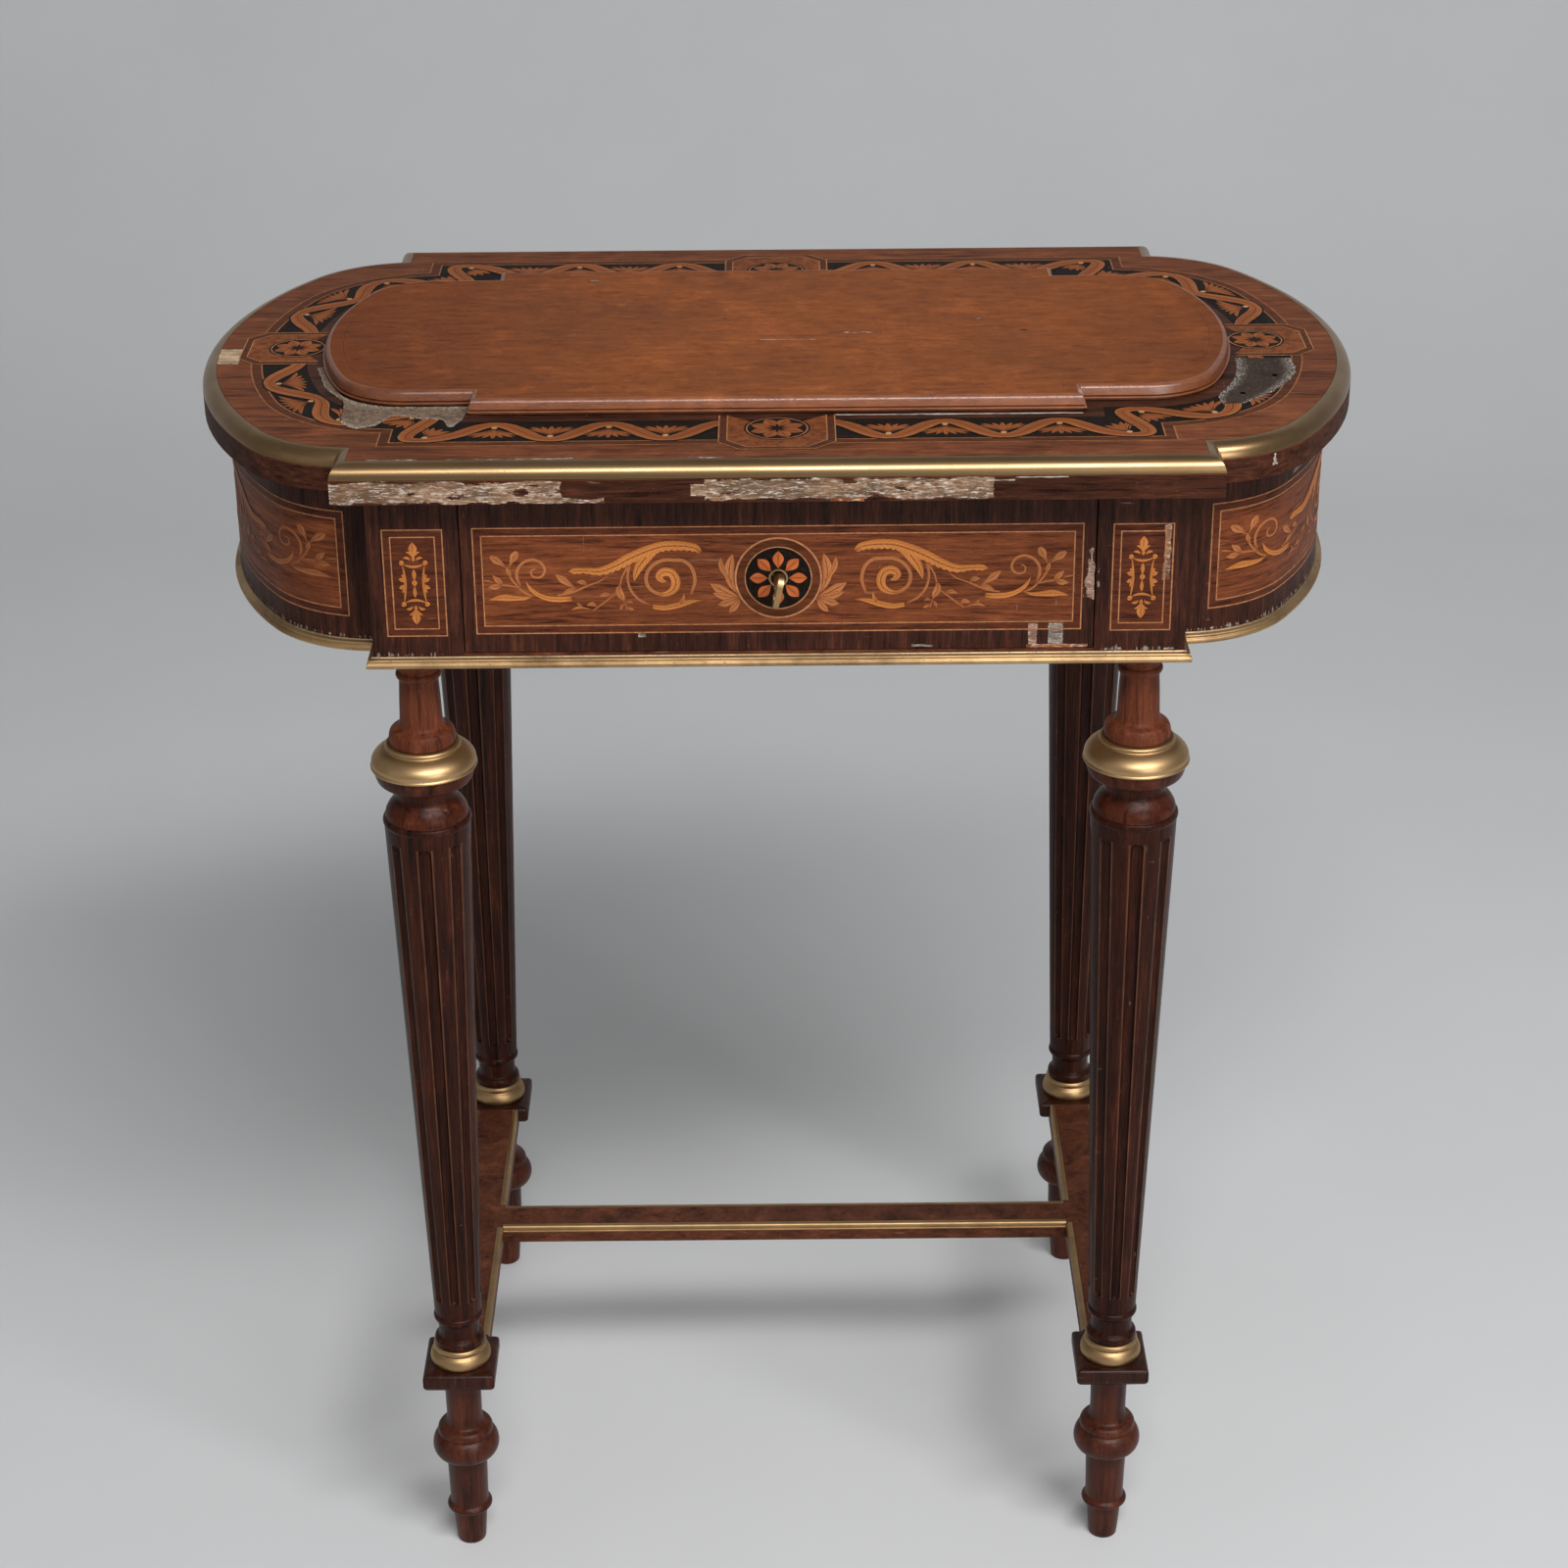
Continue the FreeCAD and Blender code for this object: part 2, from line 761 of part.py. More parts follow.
def drawer_bottom():
    return box(bottom_board_x, bottom_board_y, bottom_z)


# Lock, key and keyhole


def lock_case():
    """Hollow steel case with a slot for the bolt and bearings for the plug."""
    x = about(0, lock_width)
    case = box(x, lock_y, lock_z)
    case = case.cut(box(grown(x, -lock_wall), lock_inside_y, grown(lock_z, -lock_wall)))
    slot_z = (lock_z[1] - lock_wall - cut_overrun, lock_z[1] + cut_overrun)
    case = case.cut(box(grown(about(0, bolt_width), running_gap), grown(bolt_y, running_gap), slot_z))
    bearing = plug_radius + pin_gap
    return case.cut(rod_y(bearing, grown(lock_y, cut_overrun), 0, key_z))


def lock_bolt():
    """Plate with two arms astride the cam, flush with the drawer's edge when drawn back."""
    slot = cam_reach + running_gap
    z = (key_z - cam_reach - bolt_throw, lock_z[1])
    plate = box(about(0, bolt_width), bolt_y, z)
    slot_y = grown(bolt_y, cut_overrun)
    plate = plate.cut(box((-slot, slot), slot_y, (z[0] - cut_overrun, key_z)))
    return plate.cut(rod_y(slot, slot_y, 0, key_z))


def lock_cam():
    """Plug that the key turns, with the finger that lifts the bolt."""
    plug = rod_y(plug_radius, lock_y, 0, key_z)
    finger = box(
        about(0, cam_width), about(sum(lock_y) / 2, cam_thickness), (key_z - cam_reach, key_z)
    )
    socket = rod_y(key_shank_radius + glue_gap, (lock_y[0] - cut_overrun, sum(lock_y) / 2), 0, key_z)
    return joined([plug, finger]).cut(socket)


def oval_plate(y, length, height, thickness):
    """Upright plate across X with straight sides and round ends, about the key's height."""
    radius = length / 2
    straight = height / 2 - radius
    middle = box(about(0, thickness), about(y, length), about(key_z, 2 * straight))
    ends = [rod_x(radius, about(0, thickness), y, key_z + rise) for rise in (-straight, straight)]
    return joined([middle] + ends)


def key():
    """Key with a pierced oval bow and a round shank, tilted as it hangs in the lock."""
    bow_y = belt_front - key_bow_out
    bow = oval_plate(bow_y, key_bow_length, key_bow_height, key_bow_thickness)
    eye_length = key_bow_length - 2 * key_bow_rim
    eye_height = key_bow_height - 2 * key_bow_rim
    eye = oval_plate(bow_y, eye_length, eye_height, key_bow_thickness + cut_overrun)
    shank_y = (bow_y + (eye_length + key_bow_rim) / 2, sum(lock_y) / 2 - glue_gap)
    solid = joined([bow.cut(eye), rod_y(key_shank_radius, shank_y, 0, key_z)])
    solid.rotate(V(0, 0, key_z), V(0, 1, 0), key_tilt_degrees)
    return solid


def keyhole_tube():
    """Brass tube that lines the keyhole."""
    y = (belt_front - tube_proud, lock_y[0] - glue_gap)
    tube = rod_y(tube_radius, y, 0, key_z)
    return tube.cut(rod_y(tube_radius - tube_wall, grown(y, cut_overrun), 0, key_z))


# Legs


def scalloped(radius, flute_radius, depth, z):
    """Round outline at height z with a hollow for each flute."""
    pitch = 360 / flute_count
    reach = radius + flute_radius - depth
    half_width = math.degrees(math.acos((radius**2 + reach**2 - flute_radius**2) / (2 * radius * reach)))

    def point(distance, degrees):
        turn = math.radians(degrees)
        return V(distance * math.cos(turn), distance * math.sin(turn), z)

    edges = []
    for number in range(flute_count):
        middle = number * pitch
        start = point(radius, middle - half_width)
        end = point(radius, middle + half_width)
        edges.append(Part.Arc(start, point(radius - depth, middle), end).toShape())
        next_start = point(radius, middle + pitch - half_width)
        edges.append(Part.Arc(end, point(radius, middle + pitch / 2), next_start).toShape())
    return Part.Wire(edges)


def leg_shaft():
    """Fluted taper between a turned head and foot, with a dowel at each end through the brass collars."""
    low = shaft_bottom + shaft_foot_length
    high = shaft_top - shaft_head_length
    outlines = [
        scalloped(fluted_bottom_radius, flute_bottom_radius, flute_bottom_depth, low),
        scalloped(fluted_top_radius, flute_top_radius, flute_top_depth, high),
    ]
    pieces = [
        Part.makeLoft(outlines, True, True),
        turned(shaft_foot_shares, shaft_foot_radius, shaft_foot_length, shaft_bottom),
        turned(shaft_head_shares, shaft_head_radius, shaft_head_length, high),
        rod(dowel_radius, (shaft_top, neck_bottom + upper_dowel_length)),
        rod(dowel_radius, (block_top - lower_dowel_length, shaft_bottom)),
    ]
    return joined(pieces)


def collar(shares, radius, height, base):
    """Turned brass ring with a plain bore for the leg's dowel."""
    ring = turned(shares, radius, height, base)
    return ring.cut(rod(dowel_bore, grown((base, base + height), cut_overrun)))


stretcher_z = (block_top - stretcher_thickness, block_top)
stretcher_tenon_z = about(sum(stretcher_z) / 2, stretcher_tenon_thickness)
side_stretcher_end = leg_y - block_side / 2
side_tenon_x = about(leg_x, stretcher_tenon_width)
side_tenon_y = (side_stretcher_end, side_stretcher_end + stretcher_tenon_length)


def leg_foot():
    """Turned foot under the square block that takes the stretcher, at the back right."""
    block = box(about(0, block_side), about(0, block_side), (block_bottom, block_top))
    upper_edges = [edge for edge in block.Edges if edge.BoundBox.ZMin > block_top - block_ease]
    block = block.makeChamfer(block_ease, upper_edges)
    foot = joined([turned(foot_shares, foot_radius, block_bottom, 0), block])
    bore = (block_top - lower_dowel_length - glue_gap, block_top + cut_overrun)
    foot = foot.cut(rod(dowel_bore, bore)).translated(V(leg_x, leg_y, 0))
    mortise_y = (side_tenon_y[0] - cut_overrun, side_tenon_y[1] + glue_gap)
    return foot.cut(box(grown(side_tenon_x, glue_gap), mortise_y, grown(stretcher_tenon_z, glue_gap)))


# Stretchers with brass strips let into their upper edges

strip_z = (block_top - strip_height, block_top)
cross_half = cross_stretcher_width / 2
cross_end = leg_x - side_stretcher_width / 2
cross_tenon_x = (cross_end, cross_end + stretcher_tenon_length)
cross_tenon_y = about(0, stretcher_tenon_width)


def strip(start, run, outward):
    """Brass strip with a rounded outer edge from start along run."""
    return section(strip_shares, strip_width, strip_height, start, outward).extrude(run)


def side_strips():
    """Strips of the right-hand stretcher: one outside and two inside, either side of the cross."""
    outer = leg_x + side_stretcher_width / 2 - strip_width
    inner = leg_x - side_stretcher_width / 2 + strip_width
    z = strip_z[0]
    long_run = V(0, 2 * side_stretcher_end, 0)
    short_run = V(0, side_stretcher_end - cross_half, 0)
    return [
        strip(V(outer, -side_stretcher_end, z), long_run, V(1, 0, 0)),
        strip(V(inner, -side_stretcher_end, z), short_run, V(-1, 0, 0)),
        strip(V(inner, cross_half, z), short_run, V(-1, 0, 0)),
    ]


def cross_strips():
    """Strips along the front and back edges of the cross stretcher."""
    start = V(-cross_end, cross_half - strip_width, strip_z[0])
    back = strip(start, V(2 * cross_end, 0, 0), V(0, 1, 0))
    return [back, mirrored_y(back)]


def side_stretcher():
    """Right-hand stretcher between the blocks, with a mortise for the cross."""
    x = about(leg_x, side_stretcher_width)
    body = box(x, (-side_stretcher_end, side_stretcher_end), stretcher_z)
    tenon = box(side_tenon_x, side_tenon_y, stretcher_tenon_z)
    rebate_z = (strip_z[0], block_top + cut_overrun)
    over = grown((-side_stretcher_end, side_stretcher_end), cut_overrun)
    body = body.cut(box((x[1] - strip_width, x[1] + cut_overrun), over, rebate_z))
    inner_x = (x[0] - cut_overrun, x[0] + strip_width)
    body = body.cut(box(inner_x, (over[0], -cross_half), rebate_z))
    body = body.cut(box(inner_x, (cross_half, over[1]), rebate_z))
    body = joined([body, tenon, mirrored_y(tenon)])
    mortise_x = (cross_end - cut_overrun, cross_tenon_x[1] + glue_gap)
    return body.cut(box(mortise_x, grown(cross_tenon_y, glue_gap), grown(stretcher_tenon_z, glue_gap)))


def cross_stretcher():
    body = box((-cross_end, cross_end), (-cross_half, cross_half), stretcher_z)
    over = grown((-cross_end, cross_end), cut_overrun)
    rebate_z = (strip_z[0], block_top + cut_overrun)
    rebate = box(over, (cross_half - strip_width, cross_half + cut_overrun), rebate_z)
    tenon = box(cross_tenon_x, cross_tenon_y, stretcher_tenon_z)
    return joined([body.cut(rebate).cut(mirrored_y(rebate)), tenon, mirrored_x(tenon)])


# All pieces in their places


def add_pair(name, right):
    nodes[name + "_right"] = right
    nodes[name + "_left"] = mirrored_x(right)


def add_group(name, right):
    """A node of two separate solids, left and right."""
    nodes[name] = Part.makeCompound([right, mirrored_x(right)])


def on_legs(shape):
    """Copies of a shape made on the Z axis, one on each leg."""
    return [shape.translated(V(x, y, 0)) for x in (-leg_x, leg_x) for y in (-leg_y, leg_y)]


nodes["top_board"] = top_board()
for side, length in plan_edging(top_plan, lip_shares, lip_radius, lip_radius, lip_bottom).items():
    nodes["top_lip_" + side] = length
mouldings = plan_edging(
    belt_plan, base_moulding_shares, base_moulding_projection, base_moulding_height, belt_bottom, glue_gap
)
for side, length in mouldings.items():
    nodes["base_moulding_" + side] = length
add_group("posts_front", post(True))
add_group("posts_back", post(False))
add_pair("end_apron", end_apron())
nodes["back_apron"] = back_apron()
nodes["front_rail"] = front_rail()
add_pair("drawer_runner", runner())
nodes.update(well_pieces())

nodes["lid_panel"] = plan_slab(lid_plan, lid_moulding_width + glue_gap, (lid_bottom, lid_top))
for side, length in lid_mouldings().items():
    nodes["lid_moulding_" + side] = length
nodes["mirror"], nodes["mirror_frame"] = mirror_and_frame()
nodes["hinge_leaves_lid"] = Part.makeCompound([lid_leaf(x) for x in hinge_places])
nodes["hinge_leaves_top"] = Part.makeCompound([fixed_leaf(x) for x in hinge_places])

nodes["drawer_front"] = drawer_front()
add_pair("drawer_side", drawer_side())
nodes["drawer_back"] = drawer_back()
nodes["drawer_bottom"] = drawer_bottom()
nodes["lock_case"] = lock_case()
nodes["lock_bolt"] = lock_bolt()
nodes["lock_cam"] = lock_cam()
nodes["key"] = key()
nodes["keyhole_tube"] = keyhole_tube()

shaft = leg_shaft()
foot = leg_foot()
add_group("leg_shafts_front", shaft.translated(V(leg_x, -leg_y, 0)))
add_group("leg_shafts_back", shaft.translated(V(leg_x, leg_y, 0)))
add_group("leg_feet_front", mirrored_y(foot))
add_group("leg_feet_back", foot)
upper = collar(upper_collar_shares, upper_collar_radius, upper_collar_height, shaft_top)
lower = collar(lower_collar_shares, lower_collar_radius, lower_collar_height, block_top)
nodes["upper_collars"] = Part.makeCompound(on_legs(upper))
nodes["lower_collars"] = Part.makeCompound(on_legs(lower))

add_pair("side_stretcher", side_stretcher())
nodes["cross_stretcher"] = cross_stretcher()
add_pair("side_strips", Part.makeCompound(side_strips()))
nodes["cross_strips"] = Part.makeCompound(cross_strips())

os.makedirs("parts", exist_ok=True)
for name, shape in nodes.items():
    shape.exportStep("parts/" + name + ".step")
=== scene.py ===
import math
from collections import namedtuple

import bmesh
import bpy
import numpy as np
from mathutils import Matrix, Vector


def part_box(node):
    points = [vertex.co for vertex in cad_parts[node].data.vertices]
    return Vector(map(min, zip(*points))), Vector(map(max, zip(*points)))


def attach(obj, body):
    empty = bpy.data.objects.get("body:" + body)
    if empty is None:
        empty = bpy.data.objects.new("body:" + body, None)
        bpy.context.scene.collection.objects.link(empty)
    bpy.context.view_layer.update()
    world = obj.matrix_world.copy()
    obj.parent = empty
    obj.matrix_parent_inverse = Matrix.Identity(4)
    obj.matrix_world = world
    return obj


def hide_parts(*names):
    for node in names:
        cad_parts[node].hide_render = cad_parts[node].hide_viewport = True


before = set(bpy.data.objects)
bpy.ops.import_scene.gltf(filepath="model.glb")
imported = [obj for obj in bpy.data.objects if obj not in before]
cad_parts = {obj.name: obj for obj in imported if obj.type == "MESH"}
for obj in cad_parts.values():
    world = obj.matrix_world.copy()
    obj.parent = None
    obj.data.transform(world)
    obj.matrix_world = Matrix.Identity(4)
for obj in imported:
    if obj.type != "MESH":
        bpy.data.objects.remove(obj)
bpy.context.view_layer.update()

# Breakfront dressing table with marquetry, brass mounts and fluted legs. Metres, +Z up, the front towards -Y.

MM = 0.001
HANDS = (-1, 1)
ROWS = (("front", -1), ("back", 1))
front, behind, up = (0, -1, 0), (0, 1, 0), (0, 0, 1)

# Planes and heights that the frame gives
top_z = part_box("top_board")[1].z
fascia_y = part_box("top_board")[0].y
belt_low, belt_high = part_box("end_apron_right")[0].z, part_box("end_apron_right")[1].z
belt_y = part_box("drawer_front")[0].y
back_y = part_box("back_apron")[1].y
lid_low, lid_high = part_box("lid_panel")[0].z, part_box("lid_panel")[1].z
key_z = (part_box("keyhole_tube")[0].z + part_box("keyhole_tube")[1].z) / 2
collar_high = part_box("upper_collars")[1]
leg_radius_at_collar = 30.2 * MM
leg_x = collar_high.x - leg_radius_at_collar
leg_y = collar_high.y - leg_radius_at_collar

# Outlines in plan: a break at front and back, set-back wings and three-centre round ends
Plan = namedtuple("Plan", "half_length half_depth wing_half straight reach corner")
top_plan = Plan(0.2375, 0.196, 0.1755, -0.0115, 0.105, 0.075)
belt_plan = Plan(0.222, 0.180, 0.155, 0.0, 0.096, 0.070)
lid_plan = Plan(0.170, 0.1195, 0.104, 0.035, 0.057, 0.045)
frieze_plan = Plan(0.209, 0.1605, 0.1395, -0.004, 0.092, 0.0805)

# Marquetry of the top
frieze_start = 0.0290
frieze_front_wave = 0.0311
frieze_front_waves = 5
frieze_end_panel = 0.0265
frieze_half_waves = 10
frieze_straight = 0.166
frieze_lid_margin = 0.0092
ribbon_width = 0.0050
ribbon_swell = 0.0034
ribbon_shadow = 0.0030
line_width = 0.0007
frieze_line = 0.0008
border_width = 0.0062
cartouche_half = 0.0270
cartouche_depth = 0.0525
cartouche_cant = 0.0100
cartouche_band = 0.0045
roundel_radius = 0.0180
end_roundel_radius = 0.0168

# Marquetry of the belt
panel_half_length = 0.1645
panel_low, panel_high = -0.0315, 0.030
line_spacing = 0.0045
rosette_radius = 0.0232
end_stretch = 1.22
pilaster_x = 0.197
pilaster_half = 0.0162
pilaster_half_height = 0.031
pilaster_z = 0.6665

# A lift is how many plies a thin inlay stands clear of the wood below it, so that each layer shows
ply = 0.00009
ground_lift, band_lift, line_lift, fan_lift = 0.6, 0.9, 1.2, 0.8
shadow_lift, ribbon_lift, edge_lift, dot_lift, loss_lift = 2.5, 2.8, 3.0, 3.1, 3.1
cartouche_lifts = (3.2, 3.5, 3.8, 3.9, 4.2)
panel_line_lift, pilaster_bud_lift, strap_lift, knob_lift = 1.0, 2.4, 1.2, 3.8
disc_lift, disc_band_lift, disc_ring_lift, flower_lift = 3.5, 3.4, 3.8, 3.9


# Meshes from grids of points

sharp_angle = math.radians(38)
seam, sliver, nearly = 1e-6, 1e-7, 1e-9
Sheet = namedtuple("Sheet", "points wrap_u wrap_v uv tone")


def sheet(points, wrap_u=False, wrap_v=False, uv=None, tone=0.5):
    """A grid of points, or a stack of like grids, with a place (u, v) and a tone for each point."""
    nu, nv = points.shape[-3:-1]
    if uv is None:
        uv = np.stack(np.meshgrid(np.linspace(0, 1, nu), np.linspace(0, 1, nv), indexing="ij"), -1)
    return Sheet(points, wrap_u, wrap_v, uv, np.asarray(tone, float))


def closed(points, tone=0.5):
    """A grid whose rows are rings."""
    return sheet(points, wrap_v=True, tone=tone)


def cells(nu, nv, wrap_u=False, wrap_v=False):
    """Corner numbers of the quads between neighbouring points of a grid."""
    u, v = np.meshgrid(np.arange(nu - (not wrap_u)), np.arange(nv - (not wrap_v)), indexing="ij")
    u_next, v_next = (u + 1) % nu, (v + 1) % nv
    corners = np.stack([u * nv + v, u_next * nv + v, u_next * nv + v_next, u * nv + v_next], -1)
    return corners.reshape(-1, 4)


def make_piece(name, sheets, finish, body, replaced=(), facing=None):
    """Puts grids into one mesh of quads and hangs it on a body.

    facing is the side that a thin inlay shows: a direction, or "out" for away from the table's upright
    axis. Without it the grids are closed solids, whose seams and poles are merged.
    """
    points, quads, uvs, tones, count = [], [], [], [], 0
    for part in sheets:
        stack = part.points.reshape((-1,) + part.points.shape[-3:])
        copies, nu, nv = stack.shape[:3]
        starts = count + nu * nv * np.arange(copies)
        quads.append((cells(nu, nv, part.wrap_u, part.wrap_v) + starts[:, None, None]).reshape(-1, 4))
        points.append(stack.reshape(-1, 3))
        uvs.append(np.broadcast_to(part.uv, (copies, nu, nv, 2)).reshape(-1, 2))
        tone = part.tone.reshape(part.tone.shape + (1,) * (3 - part.tone.ndim))
        tones.append(np.broadcast_to(tone, (copies, nu, nv)).reshape(-1))
        count += copies * nu * nv
    points, quads, uvs, tones = (np.concatenate(rows) for rows in (points, quads, uvs, tones))
    if facing is not None:
        corner = points[quads]
        normal = np.cross(corner[:, 2] - corner[:, 0], corner[:, 3] - corner[:, 1])
        wanted = corner.mean(1) * (1, 1, 0) if isinstance(facing, str) else np.asarray(facing, float)
        wrong = (normal * wanted).sum(-1) < 0
        quads[wrong] = quads[wrong][:, ::-1]
    mesh = bpy.data.meshes.new(name)
    mesh.vertices.add(count)
    mesh.vertices.foreach_set("co", points.ravel())
    mesh.loops.add(quads.size)
    mesh.loops.foreach_set("vertex_index", quads.ravel())
    mesh.polygons.add(len(quads))
    mesh.polygons.foreach_set("loop_start", np.arange(0, quads.size, 4))
    mesh.update(calc_edges=True)
    mesh.uv_layers.new(name="Surface").data.foreach_set("uv", uvs[quads.ravel()].ravel())
    mesh.attributes.new("tone", "FLOAT", "POINT").data.foreach_set("value", tones)
    if facing is None:
        solid = bmesh.new()
        solid.from_mesh(mesh)
        bmesh.ops.remove_doubles(solid, verts=solid.verts, dist=seam)
        bmesh.ops.dissolve_degenerate(solid, dist=sliver, edges=solid.edges)
        bmesh.ops.recalc_face_normals(solid, faces=solid.faces)
        solid.to_mesh(mesh)
        solid.free()
    mesh.shade_smooth()
    mesh.set_sharp_from_angle(angle=sharp_angle)
    mesh.materials.append(finish)
    piece = bpy.data.objects.new(name, mesh)
    bpy.context.scene.collection.objects.link(piece)
    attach(piece, body)
    if replaced:
        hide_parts(*replaced)


def unit(vectors):
    """Vectors divided by their lengths."""
    return vectors / np.linalg.norm(vectors, axis=-1, keepdims=True)


def square_to(vectors):
    """Flat vectors turned a quarter to the left."""
    return np.stack([-vectors[..., 1], vectors[..., 0]], -1)


def run_length(line):
    """Length along a line of points, up to each of them."""
    return np.concatenate([[0], np.cumsum(np.linalg.norm(np.diff(line, axis=0), axis=1))])


# Outlines in plan and mouldings run round them


def quarter(plan, inset, steps=(36, 5, 8, 24, 20)):
    """Front right quarter of a plan drawn in by inset: break, step, wing, corner arc and end arc."""
    rise = plan.wing_half - plan.corner
    start_x = plan.half_length + plan.straight
    tip = start_x + plan.reach
    radius = (plan.reach**2 + rise**2 - plan.corner**2) / (2 * (plan.reach - plan.corner))
    centre_x = tip - radius
    turn = math.atan2(rise, start_x - centre_x)
    side = plan.half_length - inset
    corner = plan.corner - inset
    begin = math.acos(max(side - start_x, 0) / corner)
    wing = rise + corner * math.sin(begin)
    front = plan.half_depth - inset
    bend = np.linspace(begin, turn, steps[3] + 1)
    end = np.linspace(turn, 0, steps[4] + 1)
    runs = [
        np.linspace((0, -front), (side, -front), steps[0] + 1),
        np.linspace((side, -front), (side, -wing), steps[1] + 1),
        np.linspace((side, -wing), (max(side, start_x), -wing), steps[2] + 1),
        np.stack([start_x + corner * np.cos(bend), -rise - corner * np.sin(bend)], -1),
        np.stack([centre_x + (radius - inset) * np.cos(end), -(radius - inset) * np.sin(end)], -1),
    ]
    return np.concatenate([runs[0]] + [run[1:] for run in runs[1:]])


def loop(plan, inset):
    """Whole outline from the quarter and its mirror images, anticlockwise from the middle of the front."""
    front = quarter(plan, inset)
    right = np.concatenate([front, (front * (1, -1))[::-1][1:]])
    return np.concatenate([right, (right * (-1, 1))[::-1][1:-1]])


def run_round(plan, section, base):
    """Closed section of outward and upward offsets carried round a plan, mitred at its corners."""
    rings = np.stack([loop(plan, -outward) for outward in section[:, 0]])
    heights = base + np.broadcast_to(section[:, 1, None, None], rings.shape[:2] + (1,))
    return np.concatenate([rings, heights], -1)


def softened(points, rounds=2):
    """Line of points with its corners cut, each round at a quarter and three quarters of every run."""
    points = np.asarray(points, float) * MM
    for number in range(rounds):
        near = points[:-1] * 0.75 + points[1:] * 0.25
        far = points[:-1] * 0.25 + points[1:] * 0.75
        middle = np.stack([near, far], 1).reshape(-1, points.shape[1])
        points = np.concatenate([points[:1], middle, points[-1:]])
    return points


def arc(centre, radius, start, stop, count):
    """Points on an arc about a centre, angles in degrees, sizes in millimetres."""
    angle = np.radians(np.linspace(start, stop, count))
    return np.stack([centre[0] + radius * np.cos(angle), centre[1] + radius * np.sin(angle)], -1)


# Turned work


def turned(outline, count=72):
    """Outline of radius and height turned round Z: x is r cos a, y is r sin a."""
    angle = np.linspace(0, 2 * np.pi, count, endpoint=False)
    radius, height = outline[:, 0, None], outline[:, 1, None]
    return np.stack([radius * np.cos(angle), radius * np.sin(angle), height + 0 * angle], -1)


def on_legs(grid, rows=HANDS):
    """Copies of a grid made on the Z axis, left and right on the front legs, the back legs or both."""
    places = np.array([(x * leg_x, y * leg_y, 0) for y in rows for x in HANDS])
    return grid[None] + places[:, None, None, :]


flute_count, flute_rows, flute_end_rows, flute_columns, land_columns = 8, 40, 12, 11, 7
flute_end_reach, flute_edge = 2.2, 0.99


def fluted(low, high, radii, flute_low, flute_high, half_widths, depths):
    """Tapered shaft with hollows that end in quarter balls, and a tone of 1 along their edges.

    Each hollow is as deep as depth * sqrt(1 - p^2 - q^2), where p goes from -1 to 1 across it and q from
    0 to 1 over the last half width at its ends.
    """
    middle = np.linspace(flute_low, flute_high, flute_rows)
    ends = np.linspace(0, 1, flute_end_rows) ** 1.5
    near_low = flute_low + half_widths[0] * flute_end_reach * ends
    near_high = flute_high - half_widths[1] * flute_end_reach * ends
    height = np.unique(np.concatenate([[low, high], near_low, middle, near_high]))
    share = (height - low) / (high - low)
    radius, half, depth = (foot + (head - foot) * share for foot, head in (radii, half_widths, depths))
    into = np.minimum(height - flute_low, flute_high - height)
    end = np.clip(1 - into / half, 0, 1)
    across = np.sin(np.linspace(-0.5, 0.5, flute_columns) * np.pi)
    land = np.linspace(0, 1, land_columns)[1:-1]
    pitch = 2 * np.pi / flute_count
    spread = (half / radius)[:, None]
    hollow = across * spread
    rest = spread + land * (pitch - 2 * spread)
    angles = np.concatenate([hollow, rest], 1)
    sunk = np.sqrt(np.clip(1 - across**2 - end[:, None] ** 2, 0, 1)) * depth[:, None]
    sunk[into < 0] = 0
    sunk = np.concatenate([sunk, np.zeros_like(rest)], 1)
    edge = np.concatenate([np.abs(across) > flute_edge, np.zeros(len(land))])
    # The tone of 1 on the flutes' edges marks where the finish lightens them, as rubbed wear and a painted highlight
    tone = 0.5 + 0.5 * edge * (into > 0)[:, None]
    turn = np.arange(flute_count) * pitch - np.pi / 2
    angle = (angles[:, None, :] + turn[None, :, None]).reshape(len(height), -1)
    reach = np.tile(radius[:, None] - sunk, (1, flute_count))
    wall = np.stack([reach * np.cos(angle), reach * np.sin(angle), height[:, None] + 0 * angle], -1)
    axis = np.zeros_like(wall[:1])
    tone = np.pad(np.tile(tone, (1, flute_count)), ((1, 1), (0, 0)), constant_values=0.5)
    return np.concatenate([axis + (0, 0, low), wall, axis + (0, 0, high)]), tone[None]


def square_bar(x, y, rows, ease, count=5):
    """Upright bar: a rectangle with eased corners at each row of height and inset, closed at both ends."""
    middle = np.array([sum(x) / 2, sum(y) / 2])
    half = np.array([x[1] - x[0], y[1] - y[0]]) / 2
    quarter_turn = np.linspace(0, np.pi / 2, count)
    angle = np.concatenate([quarter_turn + side * np.pi / 2 for side in range(4)])
    sign = np.repeat([(1, 1), (-1, 1), (-1, -1), (1, -1)], count, 0)
    round_off = np.stack([np.cos(angle), np.sin(angle)], -1)
    heights, insets = np.asarray(rows, float).T
    corner = sign * (half - ease - insets[:, None, None]) + round_off * ease
    height = np.broadcast_to(heights[:, None, None], corner.shape[:2] + (1,))
    wall = np.concatenate([middle + corner, height], -1)
    caps = np.zeros_like(wall[:1]) + (*middle, 0)
    return np.concatenate([caps + (0, 0, heights[0]), wall, caps + (0, 0, heights[-1])])


# Cut shapes of the marquetry, drawn flat as (across, up) and laid on the wood by a placing function

blade_rows, blade_columns, stroke_columns = 15, 5, 5
petal_count, petal_swell, fan_swell, strap_swell, bud_swell = 8, 0.56, 0.72, 0.5, 0.6
scallop_pitch, vein_pitch, least_width = 0.0034, 0.012, 0.0001
layer_step, stroke_step, layer_turns = 0.2, 0.16, 7


